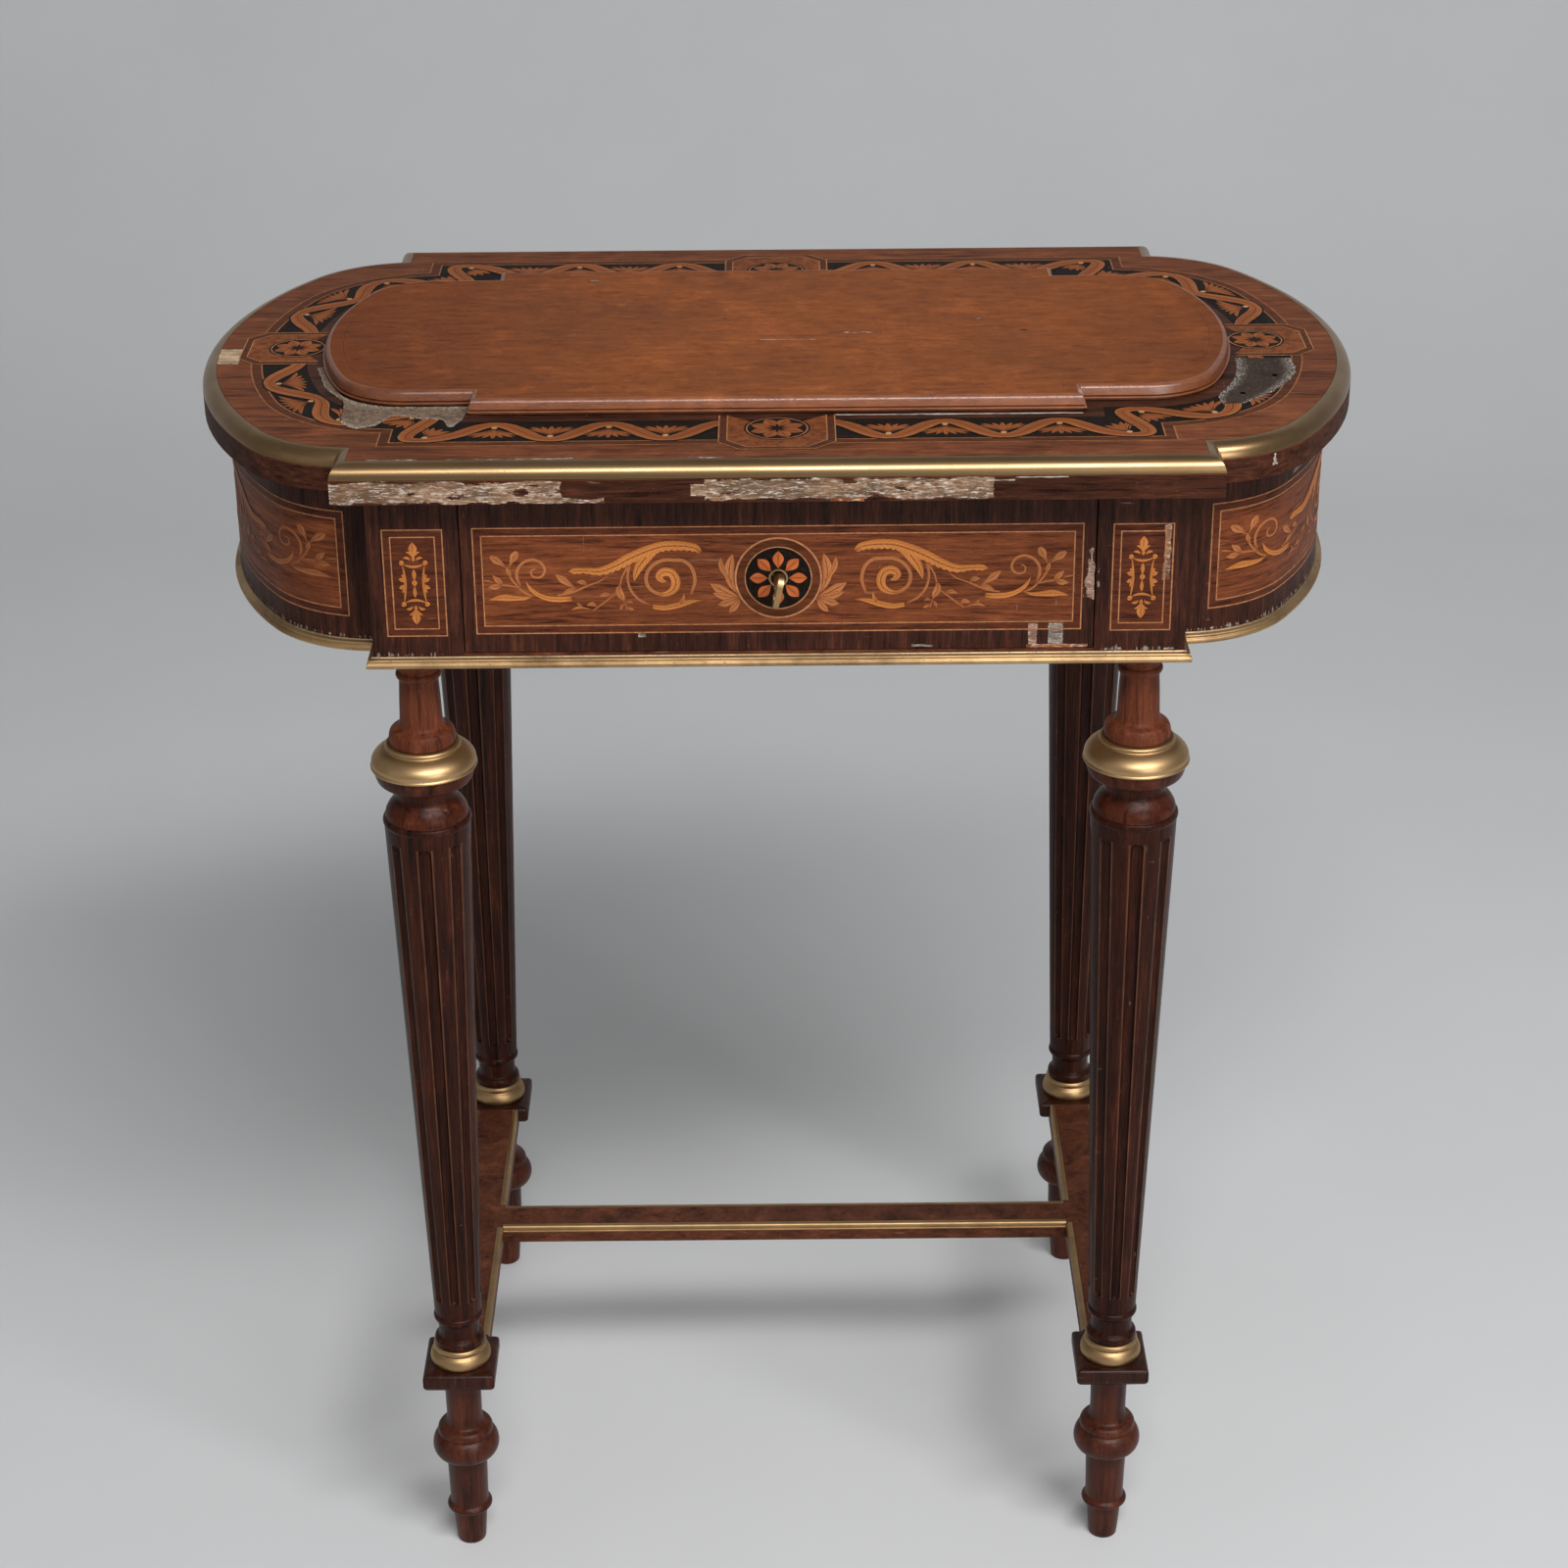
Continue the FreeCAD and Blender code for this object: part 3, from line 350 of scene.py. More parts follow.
def blades(cuts, swell):
    """Leaves and petals. Each cut is start, end, bow and width.

    A leaf runs from start to end along a parabola of that bow, and its width follows sin(pi t^k), widest
    at swell.
    """
    start, end, bow, width = (np.asarray(values, float) for values in zip(*cuts))
    t = np.linspace(0, 1, blade_rows)[None, :, None]
    across = np.linspace(-1, 1, blade_columns)
    run = (end - start)[:, None, :]
    side, bow = square_to(run), bow[:, None, None]
    axis = start[:, None, :] + run * t + side * (4 * bow * t * (1 - t))
    normal = square_to(unit(run + side * (4 * bow * (1 - 2 * t))))
    half = np.sin(np.pi * t ** (math.log(0.5) / math.log(swell))) * width[:, None, None] / 2
    return axis[:, :, None, :] + (normal * half)[:, :, None, :] * across[None, None, :, None]


def smooth_line(knots, count):
    """Cubic line through knots, with the slope of the neighbouring chords at each."""
    knots = np.asarray(knots, float)
    place = run_length(knots[:, :2])
    slope = np.gradient(knots, place, axis=0)
    at = np.linspace(0, place[-1], count)
    k = np.clip(np.searchsorted(place, at, "right") - 1, 0, len(place) - 2)
    step = (place[k + 1] - place[k])[:, None]
    t = (at - place[k])[:, None] / step
    near = (1 + 2 * t) * (1 - t) ** 2 * knots[k] + t * (1 - t) ** 2 * step * slope[k]
    far = t**2 * (3 - 2 * t) * knots[k + 1] - t**2 * (1 - t) * step * slope[k + 1]
    return near + far


def strip(axis, width, notches=0.0, columns=3):
    """Band of a given width along a line of points, a number or one width for each point.

    Notches scallop one of its edges, by a share of the half width at every pitch.
    """
    run = np.gradient(axis, axis=-2)
    half = np.broadcast_to(np.asarray(width, float), axis.shape[:-1])[..., None] / 2
    across = np.linspace(-1, 1, columns)
    length = np.cumsum(np.linalg.norm(run, axis=-1), -1)
    scallop = 1 - notches * (1 - np.abs(np.sin(length * np.pi / scallop_pitch)))
    reach = np.where(across < 0, across * scallop[..., None], across)
    return axis[..., None, :] + (square_to(unit(run)) * half)[..., None, :] * reach[..., None]


def along_and_across(along, columns):
    """Places (u, v) of a band: how far along it, and from 0 to 1 across it."""
    return np.stack(np.broadcast_arrays(along[:, None], np.linspace(0, 1, columns)[None, :]), -1)


def stroke(knots, notches, count):
    """Leaf, stem or scroll through knots of across, up and width in millimetres, with its places."""
    line = smooth_line(np.asarray(knots, float) * MM, count)
    width = np.clip(line[:, 2], least_width, None)
    places = along_and_across(run_length(line[:, :2]) / vein_pitch, stroke_columns)
    return strip(line[:, :2], width, notches, stroke_columns), places


def ring(centre, inner, outer, count=64):
    """Flat ring between two radii, a disc where the inner one is zero."""
    angle = np.linspace(0, 2 * np.pi, count, endpoint=False)
    radius = np.linspace(inner, outer, 3)[:, None]
    return np.stack([radius * np.cos(angle), radius * np.sin(angle)], -1) + np.asarray(centre)


def rectangle_line(low, high, width, count=60):
    """Closed line round a rectangle, mitred at its corners."""
    share = np.linspace(0, 1, count, endpoint=False)[:, None]

    def sides(inset):
        a, b = low + inset, high - inset
        corners = np.array([a, (b[0], a[1]), b, (a[0], b[1])])
        return np.concatenate([p + (q - p) * share for p, q in zip(corners, np.roll(corners, -1, 0))])

    return np.stack([sides(-width / 2), sides(width / 2)])


def petals(inner, outer, width, turn):
    """Petals in a circle between two radii, the first at a turn in degrees."""
    angle = np.radians(turn) + np.arange(petal_count) * 2 * np.pi / petal_count
    ways = np.stack([np.cos(angle), np.sin(angle)], -1)
    return blades([(way * inner, way * outer, 0.0, width) for way in ways], petal_swell)


def layers(count, base):
    """Lifts for a row of cut shapes that may cross, each a step over the one before, in turns."""
    return (base + layer_step * (np.arange(count) % layer_turns)).reshape(-1, 1, 1)


# Places where the marquetry lies


def on_upright(flat, y):
    """Face at a depth y: across is x, up is measured from the keyhole."""
    return np.stack([flat[..., 0], 0 * flat[..., 0] + y, flat[..., 1] + key_z], -1)


def on_front(flat, lift):
    """Drawer front and front posts, lifted towards the front."""
    return on_upright(flat, belt_y - lift * ply)


def on_back(flat, lift):
    """Back apron and back posts, seen from behind and lifted backwards."""
    return on_upright(flat * (-1, 1), back_y + lift * ply)


def on_top(flat, lift):
    """Top board: across is x, up is y, lifted upwards."""
    return np.stack([flat[..., 0], flat[..., 1], 0 * flat[..., 0] + top_z + lift * ply], -1)


end_line = quarter(belt_plan, 0)
end_line = end_line[end_line[:, 0] >= belt_plan.half_length - nearly]
end_line = end_line[np.argmax(end_line[:, 1] > -belt_plan.wing_half - nearly):]
end_line = np.concatenate([end_line, (end_line * (1, -1))[::-1][1:]])
end_line = end_line[np.concatenate([[True], np.diff(run_length(end_line)) > nearly])]
end_length = run_length(end_line)
end_length -= end_length[-1] / 2
end_heading = unit(np.gradient(end_line, axis=0))


def on_end(hand):
    """Placing on a bent end apron: across is the length along its face from the tip, back on the right."""
    def placed(flat, lift):
        along = flat[..., 0] * hand
        x, y, east, north = (np.interp(along, end_length, row) for row in (*end_line.T, *end_heading.T))
        return np.stack([hand * (x + north * lift * ply), y - east * lift * ply, flat[..., 1] + key_z], -1)
    return placed


frieze_steps, straight_points, corner_points = (1, 6, 8, 24, 20), 60, 9


def frieze_edge(plan, inset):
    """One edge of the frieze: straight along the front, then round the block corner, the wing and the end."""
    line = quarter(plan, inset, frieze_steps)
    straight = np.linspace(line[0], (frieze_straight, line[0, 1]), straight_points)
    corner = np.linspace(straight[-1], line[1], corner_points)
    return np.concatenate([straight, corner[1:], line[2:]])


frieze_inner = frieze_edge(lid_plan, -frieze_lid_margin)
frieze_outer = frieze_edge(frieze_plan, 0)
frieze_width = frieze_inner[0, 1] - frieze_outer[0, 1]
frieze_length = run_length((frieze_inner + frieze_outer) / 2)


def frieze_place(flat):
    """Front right quarter of the frieze: along is the length from the middle of the front, up goes outwards.

    A point lies between the edge beside the lid and the outer edge, in the share of its height.
    """
    share = flat[..., 1, None] / frieze_width
    inner, outer = (
        np.stack([np.interp(flat[..., 0], frieze_length, row) for row in edge.T], -1)
        for edge in (frieze_inner, frieze_outer)
    )
    return inner + (outer - inner) * share


def in_quarters(place, lift):
    """A shape of the front right quarter of the top with its mirror images in the other three."""
    signs = np.array([(x, y) for x in HANDS for y in HANDS])
    return on_top(place[None] * signs.reshape((4,) + (1,) * (place.ndim - 1) + (2,)), lift)


# Finishes


class Field:
    """A shader socket that is reckoned with like a number: each sum, product or step is a new node."""

    def __init__(self, nodes, socket):
        self.nodes, self.socket = nodes, socket

    def __add__(self, other):
        return self.nodes.maths("ADD", self, other)

    def __sub__(self, other):
        return self.nodes.maths("SUBTRACT", self, other)

    def __rsub__(self, other):
        return self.nodes.maths("SUBTRACT", other, self)

    def __mul__(self, other):
        return self.nodes.maths("MULTIPLY", self, other)

    def __abs__(self):
        return self.nodes.maths("ABSOLUTE", self)

    def over(self, other):
        """The greater of two."""
        return self.nodes.maths("MAXIMUM", self, other)

    def rise(self, low, high):
        """Smooth step from 0 at low to 1 at high."""
        values = {"Value": self, "From Min": low, "From Max": high}
        return self.nodes.add("MapRange", values, interpolation_type="SMOOTHSTEP")


class Nodes:
    """Adds shader nodes to a tree and joins their sockets."""

    def __init__(self, tree):
        self.tree = tree

    def join(self, value, socket):
        if isinstance(value, Field):
            self.tree.links.new(value.socket, socket)
        else:
            socket.default_value = (*value, 1) if socket.type == "RGBA" else value

    def add(self, kind, inputs=(), output=0, **settings):
        """A node with inputs by name or number, and one of its outputs."""
        node = self.tree.nodes.new("ShaderNode" + kind)
        for key, value in settings.items():
            setattr(node, key, value)
        for key, value in dict(inputs).items():
            self.join(value, node.inputs[key])
        return Field(self, node.outputs[output])

    def maths(self, operation, *values, clamp=False):
        return self.add("Math", enumerate(values), operation=operation, use_clamp=clamp)

    def vectors(self, operation, *values):
        return self.add("VectorMath", enumerate(values), operation=operation)

    def axis(self, vector, number):
        return self.add("SeparateXYZ", {"Vector": vector}, number)

    def blend(self, factor, first, second, mode="MIX"):
        return self.add("Mix", {0: factor, 6: first, 7: second}, 2, data_type="RGBA", blend_type=mode)

    def noise(self, place, scale, detail=3.0, roughness=0.55, distortion=0.0):
        """Noise at a place, drawn out along the axes where it has three scales."""
        if isinstance(scale, tuple):
            place, scale = self.vectors("MULTIPLY", place, scale), 1.0
        values = {"Vector": place, "Scale": scale, "Detail": detail, "Roughness": roughness}
        return self.add("TexNoise", {**values, "Distortion": distortion}, "Fac")

    def group(self, tree, **inputs):
        """A group with its own values, and its outputs by name."""
        node = self.add("Group", inputs, node_tree=tree).socket.node
        return {socket.name: Field(self, socket) for socket in node.outputs}


def new_group(name, make, outputs, **inputs):
    """Shader group whose outputs make works out from its named inputs, which are given by kind."""
    tree = bpy.data.node_groups.new(name, "ShaderNodeTree")
    for kind, labels in inputs.items():
        for label in labels:
            tree.interface.new_socket(label, in_out="INPUT", socket_type="NodeSocket" + kind)
    for label in outputs:
        kind = "Color" if label == "Colour" else "Float"
        tree.interface.new_socket(label, in_out="OUTPUT", socket_type="NodeSocket" + kind)
    nodes = Nodes(tree)
    given = tree.nodes.new("NodeGroupInput").outputs
    result = tree.nodes.new("NodeGroupOutput").inputs
    made = make(nodes, {socket.name: Field(nodes, socket) for socket in given if socket.name})
    for label, value in zip(outputs, made):
        nodes.join(value, result[label])
    return tree


# The first colour lightens the flutes' edges: rubbed wear together with a painted highlight
RUBBED_EDGE_AND_HIGHLIGHT, DUST, PALE_DUST = (0.17, 0.082, 0.048), (0.36, 0.25, 0.17), (0.40, 0.36, 0.30)
BRASS_DEEP, BRASS_BRIGHT, TARNISH = (0.46, 0.285, 0.130), (0.57, 0.380, 0.195), (0.17, 0.098, 0.045)
# Colours of engraved cuts, and of the painted shade multiplied over the lid's ends
ENGRAVED, PAINTED_SHADE = (0.03, 0.01, 0.005), (0.62, 0.57, 0.52)
bump_strength, dirt_shade = 0.6, 0.42
wood_relief, inlay_relief, veneer_relief, ground_relief, steel_relief = 0.00025, 0.0001, 0.00008, 0.0003, 0.00005


def timber_figure(nodes, given):
    """Figure of a wood: noise drawn out along the grain, fine streaks in it and dark pores."""
    drawn = nodes.vectors("MULTIPLY", given["Vector"], given["Stretch"])
    broad = nodes.noise(drawn, 1.0, 4.0, 0.6, given["Waviness"])
    figure = broad * 0.6 + nodes.noise(drawn, 4.5, 3.0, 0.6, 0.3) * 0.4
    colour = nodes.blend(figure.rise(0.34, 0.52), given["Dark"], given["Middle"])
    colour = nodes.blend(figure.rise(0.5, 0.68), colour, given["Light"])
    pores = nodes.noise(drawn, 13.0, 2.0, 0.6).rise(0.56, 0.68)
    return nodes.blend(pores * 0.55, colour, given["Dark"]), pores


def old_polish(nodes, given):
    """Old polish: cloudy shade, rubbed lights, scratches and specks of dust over a colour."""
    place = given["Vector"]
    cloud = nodes.noise(place, 11.0, 4.0, 0.6)
    rubbed = nodes.noise(place, 42.0, 5.0, 0.65).rise(0.5, 0.72)
    shade = cloud + 0.5 + rubbed * given["Rubbed"]
    grey = nodes.add("CombineColor", dict.fromkeys(("Red", "Green", "Blue"), shade))
    shaded = nodes.blend(1.0, given["Colour"], grey, "MULTIPLY")
    long_marks = nodes.noise(place, (35, 420, 420), 2.0).rise(0.72, 0.77)
    cross_marks = nodes.noise(place, (520, 60, 90), 2.0).rise(0.74, 0.78)
    specks = nodes.noise(place, 900.0, 2.0).rise(0.7, 0.78)
    grit = long_marks.over(cross_marks).over(specks) * given["Dust"]
    rough = nodes.maths("ADD", given["Roughness"] + cloud * 0.16, grit * 0.4, clamp=True)
    return nodes.blend(grit, shaded, DUST), rough, cloud * 0.4


def ragged_patch(nodes, given):
    """Mask of a box about a centre, with a ragged edge of noise, and a mask of its rim."""
    offset = nodes.vectors("ABSOLUTE", nodes.vectors("SUBTRACT", given["Vector"], given["Centre"]))
    gaps = nodes.vectors("SUBTRACT", offset, given["Half"])
    gap = nodes.axis(gaps, 0).over(nodes.axis(gaps, 1).over(nodes.axis(gaps, 2)))
    drawn = nodes.vectors("MULTIPLY", given["Vector"], given["Fibre"])
    edge = gap + (nodes.noise(drawn, 1.0, 4.0, 0.65) - 0.42) * given["Ragged"]
    mask = edge.rise(0.0002, -0.0002)
    return mask, mask * edge.rise(-0.0016, -0.0003)


def sand_shading(nodes, given):
    """Sand shading of a cut leaf: dark at its root and along one edge, with an engraved rib and veins."""
    along, across = nodes.axis(given["Surface"], 0), nodes.axis(given["Surface"], 1)
    shade = (along.rise(0.42, 0.0) * 0.75).over(across.rise(0.55, 1.0) * 0.55)
    from_rib = abs(across - 0.5)
    slant = along * given["Veins"] + from_rib * -3.0
    vein = abs(nodes.maths("FRACT", slant) - 0.5).rise(0.1, 0.03) * along.rise(0.12, 0.3)
    cuts = (from_rib.rise(0.07, 0.03) * 0.8).over(vein * 0.5)
    return nodes.maths("ADD", shade, 0.5 - given["Tone"], clamp=True), cuts


def brass_ageing(nodes, given):
    """Aged brass: brown tarnish in clouds, fine rubbing and small dark spots."""
    place = given["Vector"]
    rub = nodes.noise(place, (60, 240, 420))
    spots = nodes.noise(place, 340.0, 3.0, 0.7).rise(0.62, 0.74)
    age = nodes.noise(place, 22.0, 5.0, 0.65).rise(0.3, 0.8) + spots * 0.45
    age = nodes.maths("ADD", age * given["Tarnish"], given["Evenly"], clamp=True)
    colour = nodes.blend(age, nodes.blend(rub, BRASS_DEEP, BRASS_BRIGHT), TARNISH)
    return colour, given["Roughness"] + age * 0.22, spots + rub * 0.5


surface_outputs = ("Colour", "Roughness", "Height")
timber = new_group(
    "timber figure", timber_figure, ("Colour", "Pores"),
    Vector=("Vector", "Stretch"), Float=("Waviness",), Color=("Dark", "Middle", "Light"),
)
polish = new_group(
    "old polish", old_polish, surface_outputs,
    Vector=("Vector",), Float=("Roughness", "Rubbed", "Dust"), Color=("Colour",),
)
patch = new_group(
    "ragged patch", ragged_patch, ("Mask", "Rim"), Vector=("Vector", "Centre", "Half", "Fibre"), Float=("Ragged",)
)
shading = new_group("sand shading", sand_shading, ("Shade", "Cuts"), Vector=("Surface",), Float=("Tone", "Veins"))
ageing = new_group(
    "brass ageing", brass_ageing, surface_outputs, Vector=("Vector",), Float=("Tarnish", "Evenly", "Roughness")
)

Wood = namedtuple("Wood", "Dark Middle Light Stretch Waviness")
fine_up = (330, 330, 20)
WOODS = {
    "lid": Wood((0.140, 0.036, 0.0090), (0.222, 0.062, 0.0150), (0.290, 0.087, 0.0220), (60, 210, 210), 0.5),
    "top": Wood((0.047, 0.0125, 0.005), (0.138, 0.041, 0.0152), (0.21, 0.068, 0.027), (9, 85, 85), 1.4),
    "fascia": Wood((0.012, 0.0038, 0.0024), (0.048, 0.0155, 0.008), (0.095, 0.031, 0.0155), (14, 90, 200), 1.2),
    "crossband": Wood((0.0085, 0.0026, 0.0016), (0.038, 0.0110, 0.0058), (0.088, 0.026, 0.0120), fine_up, 0.4),
    "panel": Wood((0.036, 0.0085, 0.0032), (0.145, 0.038, 0.0125), (0.235, 0.068, 0.022), (16, 16, 230), 1.3),
    "band": Wood((0.022, 0.0052, 0.0024), (0.080, 0.0195, 0.0076), (0.125, 0.034, 0.0125), (22, 22, 230), 1.0),
    "leg": Wood((0.0055, 0.0012, 0.0005), (0.026, 0.0055, 0.0021), (0.066, 0.0155, 0.0058), (210, 210, 8), 0.5),
    "foot": Wood((0.017, 0.0036, 0.0015), (0.058, 0.0130, 0.0050), (0.10, 0.025, 0.0100), (150, 150, 10), 0.5),
    "neck": Wood((0.042, 0.0105, 0.0045), (0.112, 0.0285, 0.0120), (0.17, 0.048, 0.02), (190, 190, 9), 0.5),
    "stretcher": Wood((0.03, 0.0085, 0.004), (0.088, 0.026, 0.0115), (0.14, 0.046, 0.021), (60, 60, 160), 0.6),
    "inside": Wood((0.16, 0.085, 0.04), (0.29, 0.17, 0.085), (0.37, 0.235, 0.13), (14, 120, 120), 0.8),
}

# Places without their veneer: a box about a centre, how ragged its edge is, its colour and its fibres
Bare = namedtuple("Bare", "centre half ragged colour fibre", defaults=((60, 60, 400),))
BARE_WOOD = (0.285, 0.165, 0.095)
BARE_TAN = (0.27, 0.125, 0.062)
BARE_GREY = (0.25, 0.2, 0.165)
BARE_PINK = (0.36, 0.2, 0.14)
BARE_ORANGE = (0.34, 0.115, 0.042)
CHALK = (0.58, 0.5, 0.43)
DARK_SPOT = (0.02, 0.008, 0.004)
CREAM = (0.62, 0.43, 0.26)


class Finish(Nodes):
    """A material in the making, with the places of its surface."""

    def __init__(self, name):
        self.material = bpy.data.materials.new(name)
        self.material.use_nodes = True
        super().__init__(self.material.node_tree)
        self.place = self.add("TexCoord", (), "Object")

    def tone(self):
        return self.add("Attribute", (), "Fac", attribute_name="tone")

    def surface(self):
        return self.add("UVMap", uv_map="Surface")

    def figured(self, wood):
        return self.group(timber, Vector=self.place, **WOODS[wood]._asdict())

    def polished(self, colour, roughness, rubbed, dust):
        return self.group(polish, Vector=self.place, Colour=colour, Roughness=roughness, Rubbed=rubbed, Dust=dust)

    def done(self, colour, roughness, height=None, relief=0.0, **plain):
        """Joins colour, roughness and relief to the shader, and sets its plain values on its own sockets."""
        shader = self.tree.nodes["Principled BSDF"].inputs
        self.join(colour, shader["Base Color"])
        self.join(roughness, shader["Roughness"])
        if height is not None:
            bump = {"Height": height, "Strength": bump_strength, "Distance": relief}
            self.join(self.add("Bump", bump), shader["Normal"])
        for key, value in plain.items():
            shader[key.replace("_", " ")].default_value = value
        return self.material


def wood_finish(name, wood, roughness, rubbed, dust=0.2, fields=(), bare=(), gloss=0.12, faded=None):
    """Polished wood, lighter where the piece's tone rises to 1, as rubbed wear with a painted highlight.

    fields are boxes with another wood in them: centre, half size and wood. bare are ragged places without
    their veneer, chalky at the rim. The last argument is a length: beyond it to either side the colour is darkened, a
    painted shade of the ends.
    """
    made = Finish(name)
    place = made.place
    figure = made.figured(wood)
    colour = figure["Colour"]
    for centre, half, other in fields:
        mask = made.group(patch, Vector=place, Centre=centre, Half=half)["Mask"]
        colour = made.blend(mask, colour, made.figured(other)["Colour"])
    # Along the flutes' edges, where the tone rises to 1, the colour is lightened: rubbed wear and a painted highlight
    # on the arrises
    worn = made.tone().rise(0.6, 1.0) * made.noise(place, 60.0, 4.0, 0.7)
    old = made.polished(made.blend(worn, colour, RUBBED_EDGE_AND_HIGHLIGHT), roughness, rubbed, dust)
    colour, rough = old["Colour"], old["Roughness"]
    # Painted shade: the colour is darkened beyond a length to either side of a middle, towards the ends
    if faded is not None:
        aside = abs(made.axis(place, 0) - painted_shade_middle)
        colour = made.blend(aside.rise(faded, faded + painted_shade_run), colour, PAINTED_SHADE, "MULTIPLY")
    height = old["Height"] - figure["Pores"] * 0.35
    if bare:
        specks = made.noise(place, (240, 900, 1300), 3.0, 0.7)
        stains = made.noise(place, (55, 120, 160), 4.0, 0.65)
    for spot in bare:
        box = {"Centre": spot.centre, "Half": spot.half, "Ragged": spot.ragged, "Fibre": spot.fibre}
        masks = made.group(patch, Vector=place, **box)
        mask = masks["Mask"]
        dirty = tuple(dirt_shade * part for part in spot.colour)
        stained = made.blend(stains.rise(0.36, 0.62), dirty, spot.colour)
        stained = made.blend(specks.rise(0.5, 0.3), stained, dirty)
        chalk = specks.rise(0.5, 0.64) * (masks["Rim"] * 0.7 + 0.3)
        colour = made.blend(mask, colour, made.blend(chalk, stained, CHALK))
        rough = rough.over(mask * 0.85)
        height = height - mask * (specks + 1.2)
    return made.done(colour, rough, height, wood_relief, Specular_IOR_Level=gloss)


def brass_finish(name, tarnish, roughness, relief=0.00004, dusty_from=None, evenly=0.0):
    """Aged brass, with pale dust caught above a height where one is given."""
    made = Finish(name)
    aged = made.group(ageing, Vector=made.place, Tarnish=tarnish, Evenly=evenly, Roughness=roughness)
    colour, rough = aged["Colour"], aged["Roughness"]
    if dusty_from is not None:
        above = made.axis(made.place, 2).rise(dusty_from - 0.0006, dusty_from + 0.0012)
        dust = above * made.noise(made.place, 700.0, 3.0, 0.7).rise(0.44, 0.62)
        colour = made.blend(dust * 0.55, colour, PALE_DUST)
        rough = rough.over(dust * 0.8)
    return made.done(colour, rough, aged["Height"], relief, Metallic=1.0)


def inlay_finish(name, light, dark, veins=4.0, gloss=0.1):
    """Cut veneer, sand shaded by the leaf's own places."""
    made = Finish(name)
    shaded = made.group(shading, Surface=made.surface(), Tone=made.tone(), Veins=veins)
    grain = made.noise(made.place, (900, 900, 1300), 2.0)
    colour = made.blend(grain * 0.3, made.blend(shaded["Shade"], light, dark), dark)
    old = made.polished(made.blend(shaded["Cuts"], colour, ENGRAVED), 0.4, 0.15, 0.1)
    return made.done(old["Colour"], old["Roughness"], old["Height"], inlay_relief, Specular_IOR_Level=gloss)


def plain_veneer(name, light, dark, stretch, roughness):
    """Small-figured veneer for lines, grounds and plain discs."""
    made = Finish(name)
    grain = made.noise(made.place, stretch, 4.0, 0.65, 0.4)
    old = made.polished(made.blend(grain.rise(0.3, 0.7), dark, light), roughness, 0.2, 0.15)
    return made.done(old["Colour"], old["Roughness"], grain, veneer_relief, Specular_IOR_Level=0.05)


def bare_finish(name, light, dark, chalk):
    """Groundwork where the veneer is gone: fibres, grey dirt, and chalky glue towards its two long edges."""
    made = Finish(name)
    place = made.place
    from_middle = abs(made.axis(made.surface(), 1) - 0.5)
    fibres = made.noise(place, (420, 420, 420), 4.0, 0.7)
    dirt = made.noise(place, 90.0, 5.0, 0.7)
    colour = made.blend(fibres.rise(0.35, 0.65), dark, light)
    colour = made.blend(dirt.rise(0.45, 0.7), colour, dark)
    specks = made.noise(place, 1100.0, 3.0, 0.7)
    glue = (specks.rise(0.48, 0.6) * from_middle.rise(0.25, 0.5)).over(specks.rise(0.66, 0.74))
    colour = made.blend(glue, colour, chalk)
    return made.done(colour, dirt * 0.25 + 0.65, fibres, ground_relief, Specular_IOR_Level=0.1)


def steel_finish():
    """Drawn steel with clouds of rust."""
    made = Finish("lock_steel")
    rust = made.noise(made.place, 140.0, 5.0, 0.7).rise(0.5, 0.72)
    drawn = made.noise(made.place, (900, 60, 60), 2.0)
    colour = made.blend(rust, made.blend(drawn, (0.3, 0.3, 0.31), (0.42, 0.42, 0.43)), (0.1, 0.045, 0.02))
    return made.done(colour, rust * 0.45 + 0.3, drawn, steel_relief, Metallic=0.9)


def mirror_finish():
    """Silvered glass with foxing and specks."""
    made = Finish("old_mirror")
    foxing = made.noise(made.place, 60.0, 6.0, 0.7).rise(0.6, 0.76)
    worn = foxing.over(made.noise(made.place, 420.0, 2.0).rise(0.68, 0.76))
    colour = made.blend(worn, (0.86, 0.88, 0.87), (0.2, 0.17, 0.13))
    return made.done(colour, worn * 0.4 + 0.03, Metallic=1.0)


def floor_finish():
    """Pale paint, faintly mottled."""
    made = Finish("pale_floor")
    mottle = made.noise(made.place, 3.0, 4.0)
    return made.done(made.blend(mottle, (0.60, 0.605, 0.61), (0.66, 0.665, 0.67)), 0.8)


panel_middle_z = key_z + (panel_low + panel_high) / 2
panel_half_z = (panel_high - panel_low) / 2
belt_z = (belt_low + belt_high) / 2
lip_height = 0.0085
lip_low = top_z - lip_height
fascia_z = (belt_high + lip_low) / 2
streak_z = 0.6243
head_z, block_z, block_half = 0.5155, 0.133, 0.0062
through, far, skin, veneer = 1.0, 0.5, 0.0015, 0.0012
# Painted shade of the lid's ends: where it begins either side of the middle, the run over which it deepens, and that
# middle, a little right of the centre so the left end is darker
painted_shade_from, painted_shade_run, painted_shade_middle = 0.08, 0.22, 0.03
even_fibre, chip_fibre, upright_fibre = (400, 400, 400), (260, 260, 260), (520, 520, 45)
scratch_fibre, board_fibre, splinter_fibre = (60, 500, 60), (70, 60, 240), (30, 60, 260)


def upright_spots(y):
    """Bare places of an upright face: across, height, their half sizes, raggedness, colour and fibres."""
    return lambda x, z, half_x, half_z, *rest: Bare((x, y, z), (half_x, skin, half_z), *rest)


def level_spots(z):
    """Bare places of a level face: x, y, their half sizes, raggedness, colour and fibres."""
    return lambda x, y, half_x, half_y, *rest: Bare((x, y, z), (half_x, half_y, skin), *rest)


on_fascia, on_belt = upright_spots(fascia_y), upright_spots(belt_y)
on_lid, on_board = level_spots(lid_high), level_spots(top_z)
